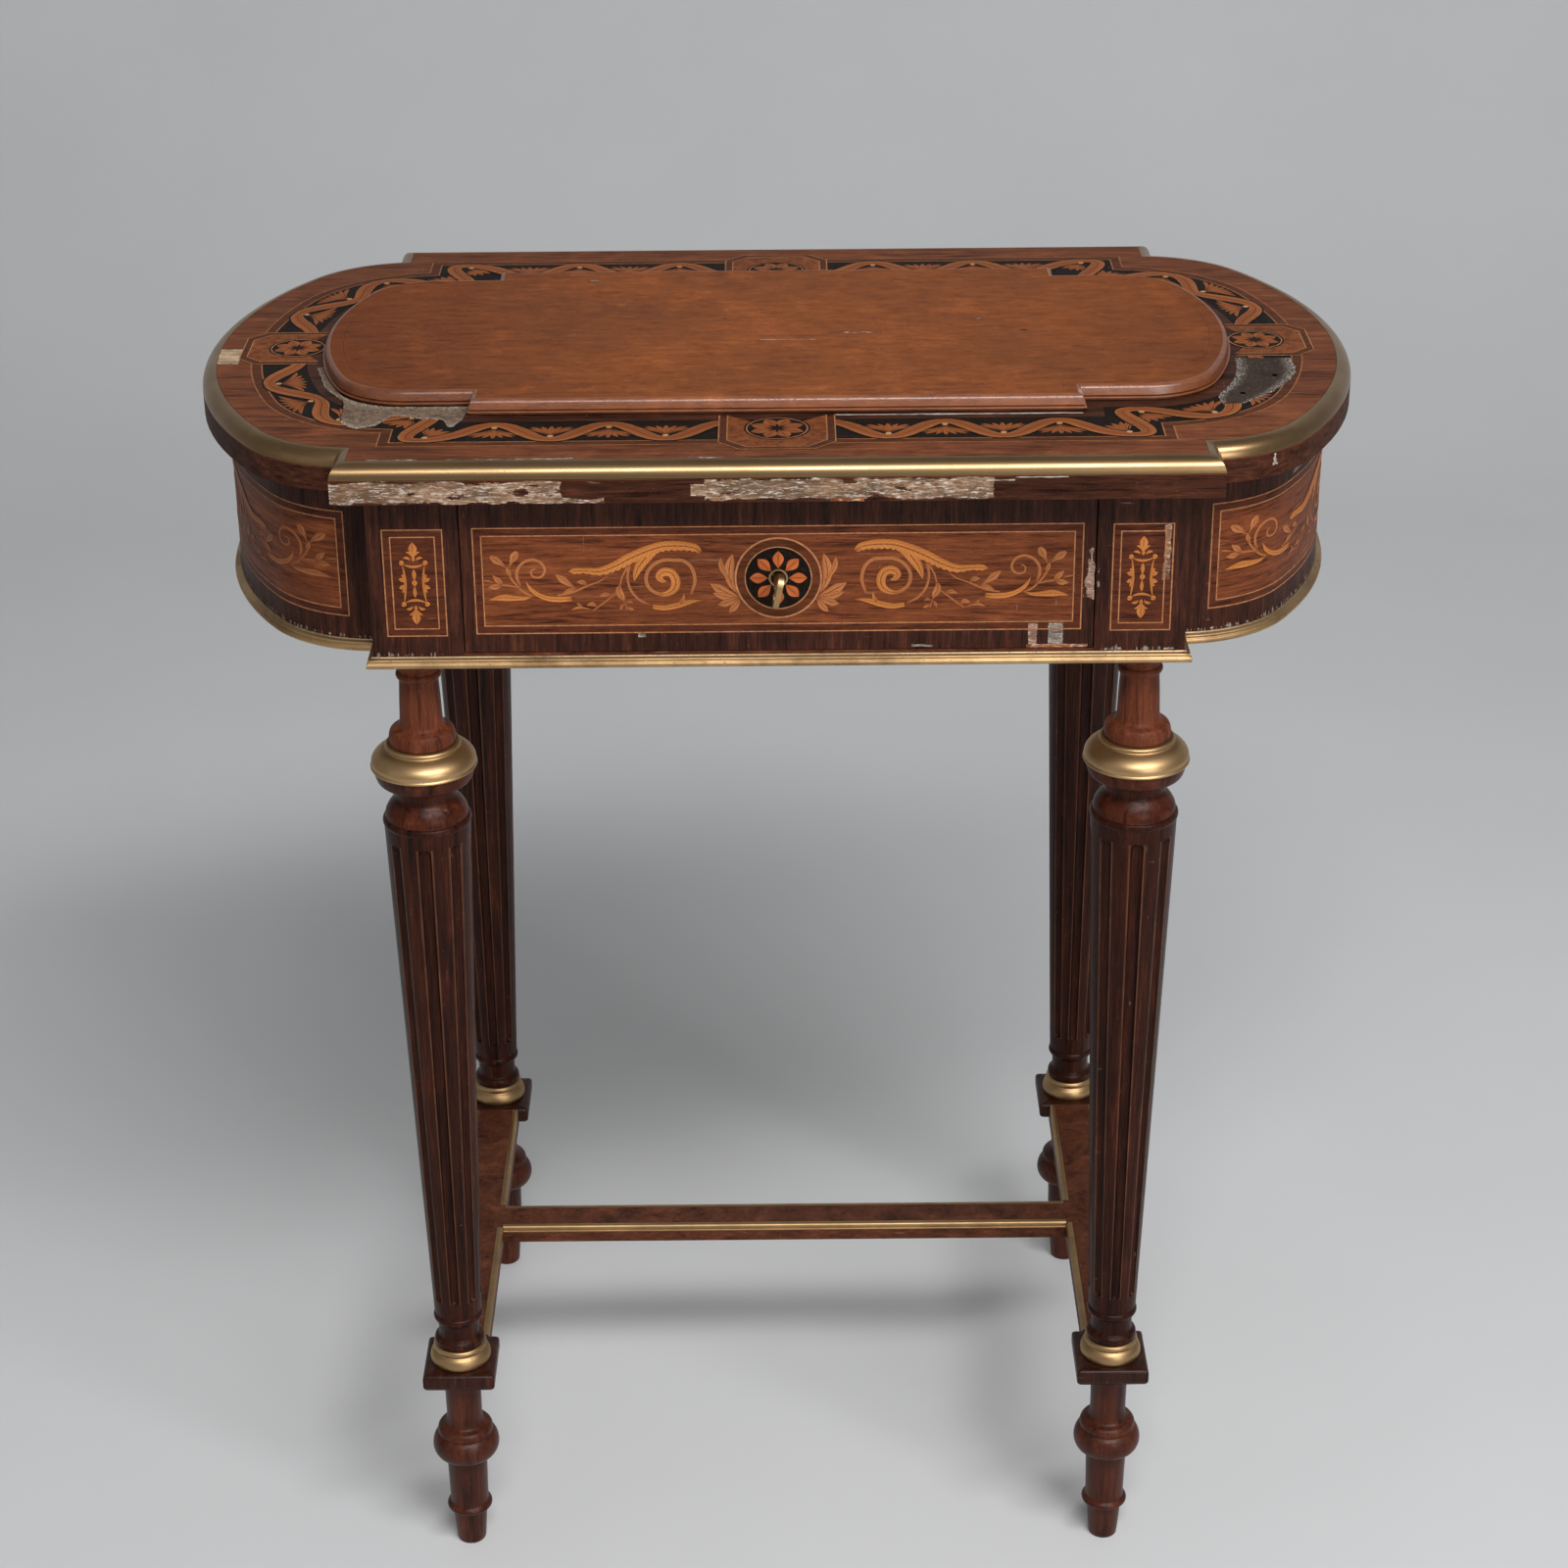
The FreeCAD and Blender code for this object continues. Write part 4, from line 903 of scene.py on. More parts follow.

# The lid and its moulding have painted shade towards both ends, deepest at the left
lid_wood = wood_finish("lid_walnut", "lid", 0.4, 0.35, 0.3, gloss=0.05, faded=painted_shade_from, bare=[
    on_lid(0.008, -0.018, 0.017, 0.0007, 0.003, BARE_PINK, scratch_fibre),
    on_lid(0.044, -0.006, 0.017, 0.0013, 0.006, BARE_ORANGE, scratch_fibre),
    on_lid(-0.030, 0.022, 0.0016, 0.0007, 0.001, DARK_SPOT, even_fibre),
    on_lid(-0.1106, 0.0972, 0.0028, 0.0016, 0.002, DARK_SPOT, even_fibre),
    on_lid(0.1428, -0.0043, 0.0024, 0.0014, 0.002, DARK_SPOT, even_fibre),
    on_lid(0.118, 0.018, 0.0013, 0.0008, 0.001, DARK_SPOT, even_fibre),
])
lid_edge_wood = wood_finish("lid_moulding_walnut", "lid", 0.24, 0.4, 0.25, gloss=0.85, faded=painted_shade_from, bare=[
    Bare((x, -0.1105, lid_low + 0.006), (half_x, 0.004, 0.003), 0.005, BARE_PINK, chip_fibre)
    for x, half_x in ((0.1685, 0.0035), (-0.1690, 0.0025))
])
under_lip = [((0, 0, lip_low - far), (through, through, far - 0.0003), "fascia")]
top_wood = wood_finish("top_rosewood", "top", 0.42, 0.4, 0.3, gloss=0.06, fields=under_lip, bare=[
    on_fascia(-0.178, fascia_z, 0.064, 0.0066, 0.008, BARE_WOOD, board_fibre),
    on_fascia(-0.104, belt_high + 0.0022, 0.013, 0.0020, 0.007, BARE_WOOD, splinter_fibre),
    on_fascia(0.038, fascia_z + 0.0006, 0.077, 0.0060, 0.007, BARE_WOOD, board_fibre),
    on_fascia(-0.0415, fascia_z + 0.0004, 0.0046, 0.0034, 0.002, BARE_WOOD, splinter_fibre),
    on_fascia(0.037, belt_high + 0.0012, 0.009, 0.0012, 0.002, BARE_ORANGE),
    Bare((0.2680, -0.165, 0.7275), (0.0013, 0.006, 0.0034), 0.008, CHALK, chip_fibre),
    on_fascia(0.118, lip_low - 0.0022, 0.008, 0.0009, 0.004, CHALK),
    on_fascia(0.140, lip_low - 0.0006, 0.014, 0.0004, 0.003, CHALK),
    on_board(-0.204, -0.1868, 0.014, 0.0008, 0.003, BARE_GREY),
    on_board(-0.142, -0.1868, 0.034, 0.0008, 0.004, BARE_GREY),
    on_board(-0.040, -0.1868, 0.012, 0.0006, 0.003, BARE_GREY),
    on_board(-0.318, -0.01375, 0.009, 0.01325, 0.0006, CREAM),
])
margin_wood = wood_finish("margin_rosewood", "fascia", 0.5, 0.5, 0.5, bare=[
    Bare((0.100, -0.1222, top_z), (0.068, 0.0012, 0.001), 0.0032, CHALK, (30, 300, 300)),
])
drawer_wood = wood_finish("drawer_rosewood", "crossband", 0.38, 0.25, fields=[
    ((0, 0, panel_middle_z), (panel_half_length, through, panel_half_z), "band"),
    ((0, 0, panel_middle_z), (panel_half_length - line_spacing, through, panel_half_z - line_spacing), "panel"),
    ((0, far, belt_z), (through, far - belt_y - veneer, through), "inside"),
], bare=[
    on_belt(0.1683, 0.6690, 0.0028, 0.0150, 0.009, BARE_PINK, (260, 260, 110)),
    on_belt(0.1385, 0.633, 0.0026, 0.0072, 0.002, BARE_PINK),
    on_belt(0.151, 0.633, 0.0042, 0.0072, 0.002, BARE_GREY),
    on_belt(0.152, 0.6265, 0.017, 0.0012, 0.002, BARE_ORANGE),
    on_belt(-0.0745, 0.6348, 0.0022, 0.0012, 0.002, BARE_GREY),
    on_belt(0.0785, 0.6272, 0.006, 0.0008, 0.004, BARE_GREY),
])
post_wood = wood_finish("post_rosewood", "crossband", 0.38, 0.3, 0.3, fields=[
    *[((hand * pilaster_x, 0, pilaster_z), (pilaster_half, through, pilaster_half_height), "band") for hand in HANDS],
    ((0, 0, far), (through, through, belt_low - far), "neck"),
], bare=[
    on_belt(pilaster_x + 0.0130, 0.681, 0.0022, 0.0160, 0.005, BARE_TAN, (200, 200, 120)),
    on_belt(0.1735, 0.6665, 0.0006, 0.010, 0.008, BARE_PINK, (200, 200, 200)),
    *[on_belt(hand * 0.198, streak_z, 0.022, 0.0008, 0.012, BARE_GREY, upright_fibre) for hand in HANDS],
])
apron_wood = wood_finish("apron_rosewood", "crossband", 0.38, 0.35, 0.3, fields=[
    ((hand * far, 0, panel_middle_z), (far - start, through, half_z), wood)
    for start, half_z, wood in ((0.2373, panel_half_z, "band"), (0.2415, panel_half_z - line_spacing, "panel"))
    for hand in HANDS
], bare=[
    *[Bare((hand * 0.27, 0, streak_z), (0.06, 0.2, 0.0010), 0.016, BARE_GREY, upright_fibre) for hand in HANDS],
    Bare((0.2905, -0.11, 0.704), (0.004, 0.02, 0.003), 0.006, BARE_GREY),
])
back_wood = wood_finish("back_rosewood", "crossband", 0.4, 0.3, 0.3, fields=[
    ((0, 0, panel_middle_z), (panel_half_length, through, panel_half_z), "panel"),
    ((0, -far, belt_z), (through, far + back_y - veneer, through), "inside"),
])
leg_head = [((0, 0, through), (through, through, through - head_z), "foot")]
leg_block = [((0, 0, block_z), (through, through, block_half), "leg")]
leg_wood = wood_finish("leg_rosewood", "leg", 0.25, 0.4, fields=leg_head)
foot_wood = wood_finish("foot_rosewood", "foot", 0.27, 0.4, fields=leg_block, gloss=0.2)
stretcher_wood = wood_finish("stretcher_rosewood", "stretcher", 0.42, 0.4, 0.3)
inner_wood = wood_finish("inside_oak", "inside", 0.62, 0.1)
lip_brass = brass_finish("lip_brass", 0.3, 0.17, 0.00002, evenly=0.5)
collar_brass = brass_finish("collar_brass", 0.3, 0.4)
strip_brass = brass_finish("strip_brass", 0.5, 0.36, evenly=0.2)
moulding_brass = brass_finish("base_moulding_brass", 1.0, 0.42, 0.00012, belt_low + 0.0052)
lock_brass = brass_finish("lock_brass", 0.85, 0.32)
lock_steel = steel_finish()
old_mirror = mirror_finish()
fine = (300, 300, 300)
ebony = plain_veneer("frieze_ebony", (0.0125, 0.0078, 0.0056), (0.0045, 0.003, 0.0024), (400, 90, 400), 0.45)
stringing = plain_veneer("stringing_boxwood", (0.42, 0.19, 0.085), (0.27, 0.105, 0.043), fine, 0.45)
dull_stringing = plain_veneer("stringing_worn", (0.33, 0.14, 0.055), (0.2, 0.072, 0.026), fine, 0.45)
border_wood = plain_veneer("border_rosewood", (0.105, 0.032, 0.0125), (0.05, 0.014, 0.006), (40, 400, 400), 0.42)
burl = plain_veneer("cartouche_burl", (0.235, 0.07, 0.02), (0.10, 0.027, 0.0085), (260, 260, 260), 0.42)
leaf_veneer = inlay_finish("leaf_maple", (0.52, 0.185, 0.045), (0.20, 0.052, 0.014))
ribbon_veneer = inlay_finish("ribbon_satinwood", (0.30, 0.088, 0.023), (0.13, 0.032, 0.010), 0.0, 0.05)
fan_veneer = inlay_finish("palmette_satinwood", (0.32, 0.098, 0.027), (0.12, 0.028, 0.009), 0.0, 0.05)
petal_veneer = inlay_finish("petal_padouk", (0.46, 0.115, 0.03), (0.20, 0.04, 0.011), 0.0)
bud_veneer = inlay_finish("bud_maple", (0.43, 0.155, 0.052), (0.18, 0.048, 0.016), 3.0)
worn_veneer = inlay_finish("worn_maple", (0.35, 0.122, 0.044), (0.14, 0.040, 0.014), 3.0)
dot_veneer = plain_veneer("dot_boxwood", (0.52, 0.29, 0.15), (0.36, 0.18, 0.08), (600, 600, 600), 0.42)
pale_ground = bare_finish("bare_groundwork_pale", (0.24, 0.17, 0.12), (0.10, 0.066, 0.045), (0.5, 0.43, 0.36))
dark_ground = bare_finish("bare_groundwork_dark", (0.060, 0.040, 0.030), (0.030, 0.020, 0.015), (0.46, 0.41, 0.36))

FINISHES = {"top_board": top_wood, "back_apron": back_wood, "drawer_front": drawer_wood, "mirror": old_mirror}
for finish, node_names in (
    (apron_wood, "end_apron_left end_apron_right"),
    (lid_wood, "lid_panel mirror_frame"),
    (lock_brass, "hinge_leaves_lid hinge_leaves_top keyhole_tube key lock_cam"),
    (lock_steel, "lock_case lock_bolt"),
    (stretcher_wood, "front_rail side_stretcher_left side_stretcher_right cross_stretcher"),
):
    FINISHES.update(dict.fromkeys(node_names.split(), finish))
for node_name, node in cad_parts.items():
    node.data.materials.clear()
    node.data.materials.append(FINISHES.get(node_name, inner_wood))


# Brass lip, lid moulding and base moulding


def run_moulding(name, plan, section, base, finish, body, lengths=None):
    """A section run round a plan, in place of the four mitred lengths."""
    replaced = [lengths + side for side in ("_front", "_back", "_left", "_right")] if lengths else ()
    make_piece(name, [sheet(run_round(plan, section, base), True, True)], finish, body, replaced)


lip_section = np.concatenate([[(-8.4, 0.05), (-0.5, 0.05)], arc((-8.4, 0.05), 8.4, 2, 90, 14)]) * MM
run_moulding("brass_lip", top_plan, lip_section, lip_low, lip_brass, "carcass", "top_lip")

flat_section = np.array([(-12, 0), (-4.6, 0), (-4.6, 8.5), (-12, 8.5)]) * MM
lid_nose = arc((-4.6, 5.5), 3.0, 90, 14, 14)[::-1]
lid_foot = [
    (-4.6, 0), (-1.5, 0), (-1.5, 1.0), (-0.2, 1.1), (0, 1.3), (0, 1.8), (-0.3, 2.1), (-2.0, 2.2), (-1.0, 3.0),
    (-1.2, 4.1), (-1.45, 5.2),
]
lid_section = np.concatenate([lid_foot, lid_nose]) * MM
run_moulding("lid_margin", lid_plan, flat_section, lid_low, lid_wood, "lid")
run_moulding("lid_moulding", lid_plan, lid_section, lid_low, lid_edge_wood, "lid", "lid_moulding")

moulding_share = 0.8
base_points = [
    (3.0, 0.1), (3.8, 0.7), (4.0, 2.0), (3.7, 3.4), (2.8, 4.1), (2.6, 4.6), (3.2, 5.1), (3.1, 6.2), (2.0, 6.8),
    (1.0, 7.4), (0.8, 8.0),
]
base_back = np.array([(0.1, 0.1), (0.1, 8.0)]) * MM
base_section = np.concatenate([base_back[:1], softened(base_points, 1), base_back[1:]]) * (1, moulding_share)
run_moulding("base_moulding", belt_plan, base_section, belt_low, moulding_brass, "carcass", "base_moulding")


# Legs: posts with turned necks, collars, fluted shafts, feet

neck_points = [
    (0, 561), (18.5, 561), (18.9, 561.6), (18.8, 565.4), (18.2, 567.8), (17.2, 569.2), (15.6, 570.0),
    (13.6, 570.8), (12.4, 572.2), (12.0, 575.5), (11.6, 588), (11.0, 598.4), (11.1, 600.2), (12.3, 600.9),
    (12.9, 602.6), (12.3, 604.3), (11.2, 605), (11.4, 606.6), (13.2, 608.6), (14.2, 611), (15.2, 615), (16, 617.5),
    (0, 617.5),
]
post_width, post_ease = 0.05, 0.0006
post_rows = [
    (belt_low, post_ease), (belt_low + post_ease, 0), (belt_high - post_ease, 0), (belt_high, post_ease),
]
neck = turned(softened(neck_points))
for row, sign in ROWS:
    depth = sorted((sign * belt_plan.half_depth, sign * (belt_plan.half_depth - post_width)))
    square = square_bar((belt_plan.half_length - post_width, belt_plan.half_length), depth, post_rows, post_ease)
    grids = np.stack([square, square * (-1, 1, 1)]), on_legs(neck, (sign,))
    sheets = [closed(grid) for grid in grids]
    make_piece("posts_and_necks_" + row, sheets, post_wood, "carcass", ["posts_" + row])

upper_points = [
    (0, 546.5), (29.9, 546.5), (30.2, 546.6), (30.2, 547.5), (29.4, 548.1), (29.7, 550.4), (28.5, 553.2),
    (26.0, 555.6), (23.4, 557.1), (21.6, 557.8), (20.9, 558.4), (21.4, 559.2), (21.2, 560.2), (20.2, 560.9),
    (19, 561), (0, 561),
]
lower_points = [
    (0, 139), (17.6, 139), (18.6, 140.2), (18.6, 143.0), (17.4, 146.0), (15.8, 147.3), (15.4, 147.9), (16.2, 148.8),
    (16.4, 150.2), (15.6, 151.6), (14.6, 152), (0, 152),
]
for height, points, finish in (("upper", upper_points, collar_brass), ("lower", lower_points, strip_brass)):
    collars = height + "_collars"
    sheets = [closed(on_legs(turned(softened(points))))]
    make_piece(collars + "_turned", sheets, finish, "carcass", [collars])


def leg_pieces(name, grids, finish, replaced):
    """Grids made on the Z axis, with their tones, set on the front legs and on the back legs."""
    for row, sign in ROWS:
        sheets = [closed(on_legs(grid, (sign,)), tone) for grid, tone in grids]
        make_piece(name + row, sheets, finish, "carcass", [replaced + row])


head_points = [
    (0, 508), (24.3, 508), (24.6, 511.2), (25.1, 511.6), (25.3, 513.2), (24.8, 514.8), (23.8, 515.2),
    (23.4, 515.6), (23.6, 517.4), (22.8, 520.2), (20.8, 523.4), (18.4, 526), (17.3, 527.6), (17.1, 530.4),
    (17.6, 533.4), (19.6, 535.4), (24.4, 536.6), (26.6, 538), (27.6, 540.6), (28.6, 544.6), (28.9, 546.5),
    (0, 546.5),
]
heel_points = [
    (0, 182), (14.5, 182), (14.3, 175.6), (13.8, 174.4), (14.8, 173.6), (15.2, 172), (14.8, 170.4), (13.4, 169.6),
    (12.6, 168.6), (12.3, 160.6), (12.6, 158.2), (14.0, 157.4), (15.2, 156), (15.3, 153.6), (14.6, 152), (0, 152),
]
shaft_low, shaft_high, flute_low, flute_high = 0.176, 0.512, 0.1865, 0.5030
shaft_radii, flute_halves, flute_depths = (0.01445, 0.0246), (0.0028, 0.0039), (0.0023, 0.0031)
shaft = fluted(shaft_low, shaft_high, shaft_radii, flute_low, flute_high, flute_halves, flute_depths)
head, heel = turned(softened(head_points)), turned(softened(heel_points))
leg_pieces("fluted_shafts_", [shaft, (head, 0.5), (heel, 0.5)], leg_wood, "leg_shafts_")

foot_points = [
    (0, 0), (8.4, 0), (9, 0.6), (10.7, 24), (10.9, 24.6), (12.8, 25), (14.1, 26.2), (14.1, 28), (13.0, 29.4),
    (11.9, 30), (11.8, 32), (12.5, 64), (12.8, 66), (16.4, 66.6), (19.4, 69.2), (20.8, 73.4), (20.4, 78),
    (18.8, 81.4), (17.0, 82.8), (16.6, 83.4), (17.2, 84.6), (17.0, 87.2), (15.6, 89), (12.8, 89.8), (11.3, 91.2),
    (10.9, 96), (11.3, 122), (12.4, 125), (15, 127.5), (0, 127.5),
]
block_rows = np.array(
    [(127, 3.2), (127.6, 2.2), (128.6, 1.0), (130, 0.2), (131, 0), (136.4, 0), (137.6, 0.4), (138.5, 1.2), (139, 2.4)]
) * MM
block_side, block_ease = (-0.022, 0.022), 0.0012
block = square_bar(block_side, block_side, block_rows, block_ease)
leg_pieces("turned_feet_", [(turned(softened(foot_points)), 0.5), (block, 0.5)], foot_wood, "leg_feet_")


# Brass strips of the stretchers, a bead over a fillet


def strip_bar(start, run, outward):
    """Strip section carried along a straight run, closed at both ends towards its middle."""
    across = strip_section[:, :1] * np.asarray(outward) + strip_section[:, 1:] * np.array(up)
    shares = np.array((end_share, 1, 1, end_share))[:, None, None]
    middle = across.mean(0)
    ends = np.array((0, 0, 1, 1))[:, None, None] * np.asarray(run)
    return closed(np.asarray(start) + ends + middle + (across - middle) * shares)


bead = arc((2.0, 2.6), 1.9, -35, 90, 12)
fillet = [(0, 0), (3.9, 0), (4.0, 0.2), (4.0, 0.7), (3.85, 0.9), (3.3, 1.05)]
strip_section = np.concatenate([fillet, bead, [(0.4, 4.4), (0, 4.2)]]) * MM
strip_width, end_share = 0.004, 1e-4
cross_far, side_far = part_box("cross_strips")[1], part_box("side_strips_right")[1]
side_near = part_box("side_strips_right")[0]
strip_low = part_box("cross_strips")[0].z
cross_y, outer_x, inner_x = cross_far.y - strip_width, side_far.x - strip_width, side_near.x + strip_width
cross_run, side_run, short_run = (2 * cross_far.x, 0, 0), (0, 2 * side_far.y, 0), (0, side_far.y - cross_far.y, 0)
strips = []
for hand in HANDS:
    strips.append(strip_bar((-cross_far.x, hand * cross_y, strip_low), cross_run, (0, hand, 0)))
    strips.append(strip_bar((hand * outer_x, -side_far.y, strip_low), side_run, (hand, 0, 0)))
    for start in (-side_far.y, cross_far.y):
        strips.append(strip_bar((hand * inner_x, start, strip_low), short_run, (-hand, 0, 0)))
strip_nodes = ["cross_strips", "side_strips_left", "side_strips_right"]
make_piece("reeded_strips", strips, strip_brass, "carcass", strip_nodes)


# Frieze of the top


def top_inlay(name, sheets, finish):
    """Thin inlay of the top, facing up."""
    make_piece(name, sheets, finish, "carcass", facing=up)


def ring_round(plan, inner, outer, lift):
    """Flat band round a plan between two insets."""
    return closed(on_top(np.stack([loop(plan, inset) for inset in (inner, outer)]), lift))


line_inset, under_lid = 0.0006, 0.004
ground_points, wave_points, ease = 300, 60, 10
crest_in, crest_out = 0.145, 0.93
frieze_tip = frieze_length[-1]
frieze_stop = frieze_tip - frieze_end_panel
whole = np.unique(np.concatenate([frieze_length, np.linspace(0, frieze_tip, ground_points)]))
ground = np.stack(np.meshgrid(whole, np.linspace(0, frieze_width, 3), indexing="ij"), -1)
top_inlay("frieze_ground", [sheet(in_quarters(frieze_place(ground), ground_lift))], ebony)
top_inlay("frieze_margin", [ring_round(lid_plan, under_lid, -frieze_lid_margin, band_lift)], margin_wood)
top_inlay("frieze_border", [ring_round(frieze_plan, line_inset, -border_width, band_lift)], border_wood)
line_insets = (line_inset, frieze_line - border_width)
frieze_lines = [ring_round(frieze_plan, inset, inset - frieze_line, line_lift) for inset in line_insets]
top_inlay("frieze_lines", frieze_lines, dull_stringing)

crests = frieze_start + frieze_front_wave * np.arange(frieze_front_waves + 1)
end_crests = np.linspace(crests[-1], frieze_stop, frieze_half_waves - frieze_front_waves + 1)
crests = np.concatenate([crests, end_crests[1:]])
wave_phase = np.linspace(0, frieze_half_waves, wave_points * frieze_half_waves + 1)
wave = np.interp(wave_phase, np.arange(frieze_half_waves + 1), crests)
sway = 0.5 - 0.5 * np.cos(np.pi * wave_phase)
wave_line = frieze_place(np.stack([wave, frieze_width * (crest_in + (crest_out - crest_in) * sway)], -1))
even = np.ones(2 * ease + 1) / (2 * ease + 1)
wave_line[ease:-ease] = np.stack([np.convolve(wave_line[:, k], even, "valid") for k in (0, 1)], -1)
ribbon_widths = ribbon_width + ribbon_swell * np.abs(np.sin(np.pi * wave_phase))
ribbon = strip(wave_line, ribbon_widths)
shadow = strip(wave_line, ribbon_widths + ribbon_shadow)
ribbon_edges = [strip(ribbon[:, column], frieze_line) for column in (0, -1)]
top_inlay("frieze_ribbon_shadow", [sheet(in_quarters(shadow, shadow_lift))], ebony)
ribbon_places = along_and_across(wave_phase + 1, ribbon.shape[1])
top_inlay("frieze_ribbon", [sheet(in_quarters(ribbon, ribbon_lift), uv=ribbon_places)], ribbon_veneer)
top_inlay("frieze_ribbon_edges", [sheet(in_quarters(edge, edge_lift)) for edge in ribbon_edges], dull_stringing)

# Leaves of a palmette, from its middle outwards: angle in degrees, length and width in millimetres, and bow
PALMETTE = [(0, 17.0, 3.0, 0.0), (19, 17.0, 2.8, 0.06), (37, 19.0, 2.8, 0.1), (53, 21.5, 2.6, 0.12)]
palmette_root, dot_place, dot_radius = 0.0050, 0.0056, 0.0017


def palmette(root, way):
    """Seven leaves from a root, the middle one along a way and the others turned from it."""
    cuts = []
    aside = np.array((way[1], -way[0]))
    for angle, length, width, bow in PALMETTE:
        turn = math.radians(angle)
        for side in HANDS if angle else (1,):
            tip = root + (way * math.cos(turn) + aside * side * math.sin(turn)) * length * MM
            cuts.append((root, tip, bow * side, width * MM))
    return cuts


fans, dots = [], []
for number in range(1, frieze_half_waves):
    heights = (crest_out, crest_in) if number % 2 else (crest_in, crest_out)
    apex, opposite = frieze_place(np.array([(crests[number], frieze_width * height) for height in heights]))
    way = unit(opposite - apex)
    fans += palmette(apex + way * palmette_root, way)
    dots.append(ring(apex + way * dot_place, 0, dot_radius, 20))
fan_shapes = in_quarters(blades(fans, fan_swell), layers(len(fans), fan_lift))
fan_tones = np.resize([0.5, 0.62, 0.42, 0.55], 4 * len(fans))
top_inlay("frieze_palmettes", [sheet(fan_shapes, tone=fan_tones)], fan_veneer)
top_inlay("frieze_dots", [closed(in_quarters(np.stack(dots), dot_lift))], dot_veneer)

# Cartouches beside the lid, at the middle of the front and back and at the ends


def canted_panel(half_width, start, stop, cut):
    """Outline of a panel as (across, out from the middle), with its two outer corners cut off."""
    right = np.array([(half_width, start), (half_width, stop - cut), (half_width - cut, stop), (0, stop)])
    return np.concatenate([right, (right * (-1, 1))[::-1][1:]])


def filled(outline, middle):
    """Fan of an outline shrunk towards a middle point."""
    share = np.linspace(0, 1, 4)[:, None, None]
    return outline[None] * (1 - share) + np.asarray(middle) * share


def front_and_back(flat, lift):
    """Across is x, out is towards the front, and the back mirrors it."""
    return on_top(np.stack([flat * (1, -1), flat]), lift)


def at_ends(flat, lift):
    """Across is y, out is towards the right end, and the left end mirrors it."""
    return on_top(np.stack([flat[..., ::-1], flat[..., ::-1] * (-1, 1)]), lift)


lid_tip = quarter(lid_plan, 0)[-1, 0]
lid_front = 0.1225
lid_stop = lid_front + cartouche_depth
flower_gap, flower_turn, ring_near, ring_far = 0.0026, 22.5, 0.0018, 0.0011
edge_over, cant_over = 0.0005, 0.001
edge_up, ground_up, line_up, disc_up, flower_up = cartouche_lifts
Cartouche = namedtuple("Cartouche", "place half start stop cut roundel radius petal")
CARTOUCHES = [
    Cartouche(front_and_back, cartouche_half, lid_front, lid_stop, cartouche_cant, 0.1435, roundel_radius, 0.0078),
    Cartouche(at_ends, 0.0240, lid_tip + 0.0015, lid_tip + 0.0470, 0.009, lid_tip + 0.0160, end_roundel_radius, 0.0072),
]
edges, grounds, lines, discs, flowers = [], [], [], [], []
for panel in CARTOUCHES:
    middle = (0, panel.roundel)
    outer = canted_panel(panel.half + cartouche_band, panel.start, panel.stop + edge_over, panel.cut + cant_over)
    inner = canted_panel(panel.half, panel.start, panel.stop - cartouche_band + cant_over, panel.cut)
    edges.append(sheet(panel.place(filled(outer, middle), edge_up)))
    grounds.append(sheet(panel.place(filled(inner, middle), ground_up)))
    lines += [sheet(panel.place(strip(outline, line_width), line_up)) for outline in (outer, inner)]
    discs.append(closed(panel.place(ring(middle, 0, panel.radius), disc_up)))
    lines.append(closed(panel.place(ring(middle, panel.radius - ring_near, panel.radius - ring_far), flower_up)))
    flower = petals(flower_gap, panel.radius - flower_gap, panel.petal, flower_turn) + middle
    flowers.append(sheet(panel.place(flower, layers(len(flower), flower_up)), tone=0.45))
top_inlay("cartouche_edges", edges, border_wood)
top_inlay("cartouche_grounds", grounds, burl)
top_inlay("cartouche_lines", lines, stringing)
top_inlay("roundel_grounds", discs, ebony)
top_inlay("roundel_flowers", flowers, fan_veneer)

# Bare places of the top beside the lid

fray_depth, loss_points, loss_columns = 0.0009, 120, 9


def bare_place(outer, inner):
    """Surface between two smooth lines through knots in millimetres, its outer edge frayed by a sum of sines."""
    far_line, near_line = (smooth_line(np.array(knots) * MM, loss_points) for knots in (outer, inner))
    step = np.linspace(0, 1, loss_points)
    fray = 0.5 * np.sin(47 * step) + 0.35 * np.sin(113 * step + 1) + 0.3 * np.sin(211 * step + 2)
    away = far_line - near_line
    away /= np.maximum(np.linalg.norm(away, axis=1, keepdims=True), seam)
    far_line = far_line + away * fray[:, None] * fray_depth
    share = np.linspace(0, 1, loss_columns)[None, :, None]
    return sheet(on_top(near_line[:, None] * (1 - share) + far_line[:, None] * share, loss_lift))


left_outer = [
    (-262, -36), (-251, -76), (-241, -94), (-239, -112), (-238, -128.6), (-229, -137.4), (-220, -134.8),
    (-210, -118), (-194, -124), (-184, -124.5), (-178, -138), (-172, -124.6),
]
left_inner = [
    (-258.5, -34), (-248.6, -68), (-240, -88), (-232, -95.5), (-224, -100), (-216, -102.8), (-208, -103.6),
    (-170, -103.6),
]
right_outer = [(293.5, -33), (293.8, -53.7), (283.6, -78.6), (270, -97), (257.7, -109)]
right_inner = [(262.2, -32.2), (261, -50), (256, -72), (249, -88), (245, -97), (245.7, -110.4)]
top_inlay("lost_veneer_left", [bare_place(left_outer, left_inner)], pale_ground)
top_inlay("lost_veneer_right", [bare_place(right_outer, right_inner)], dark_ground)

# Marquetry of the belt, each cut as knots of across, up and width in millimetres from the panel's middle

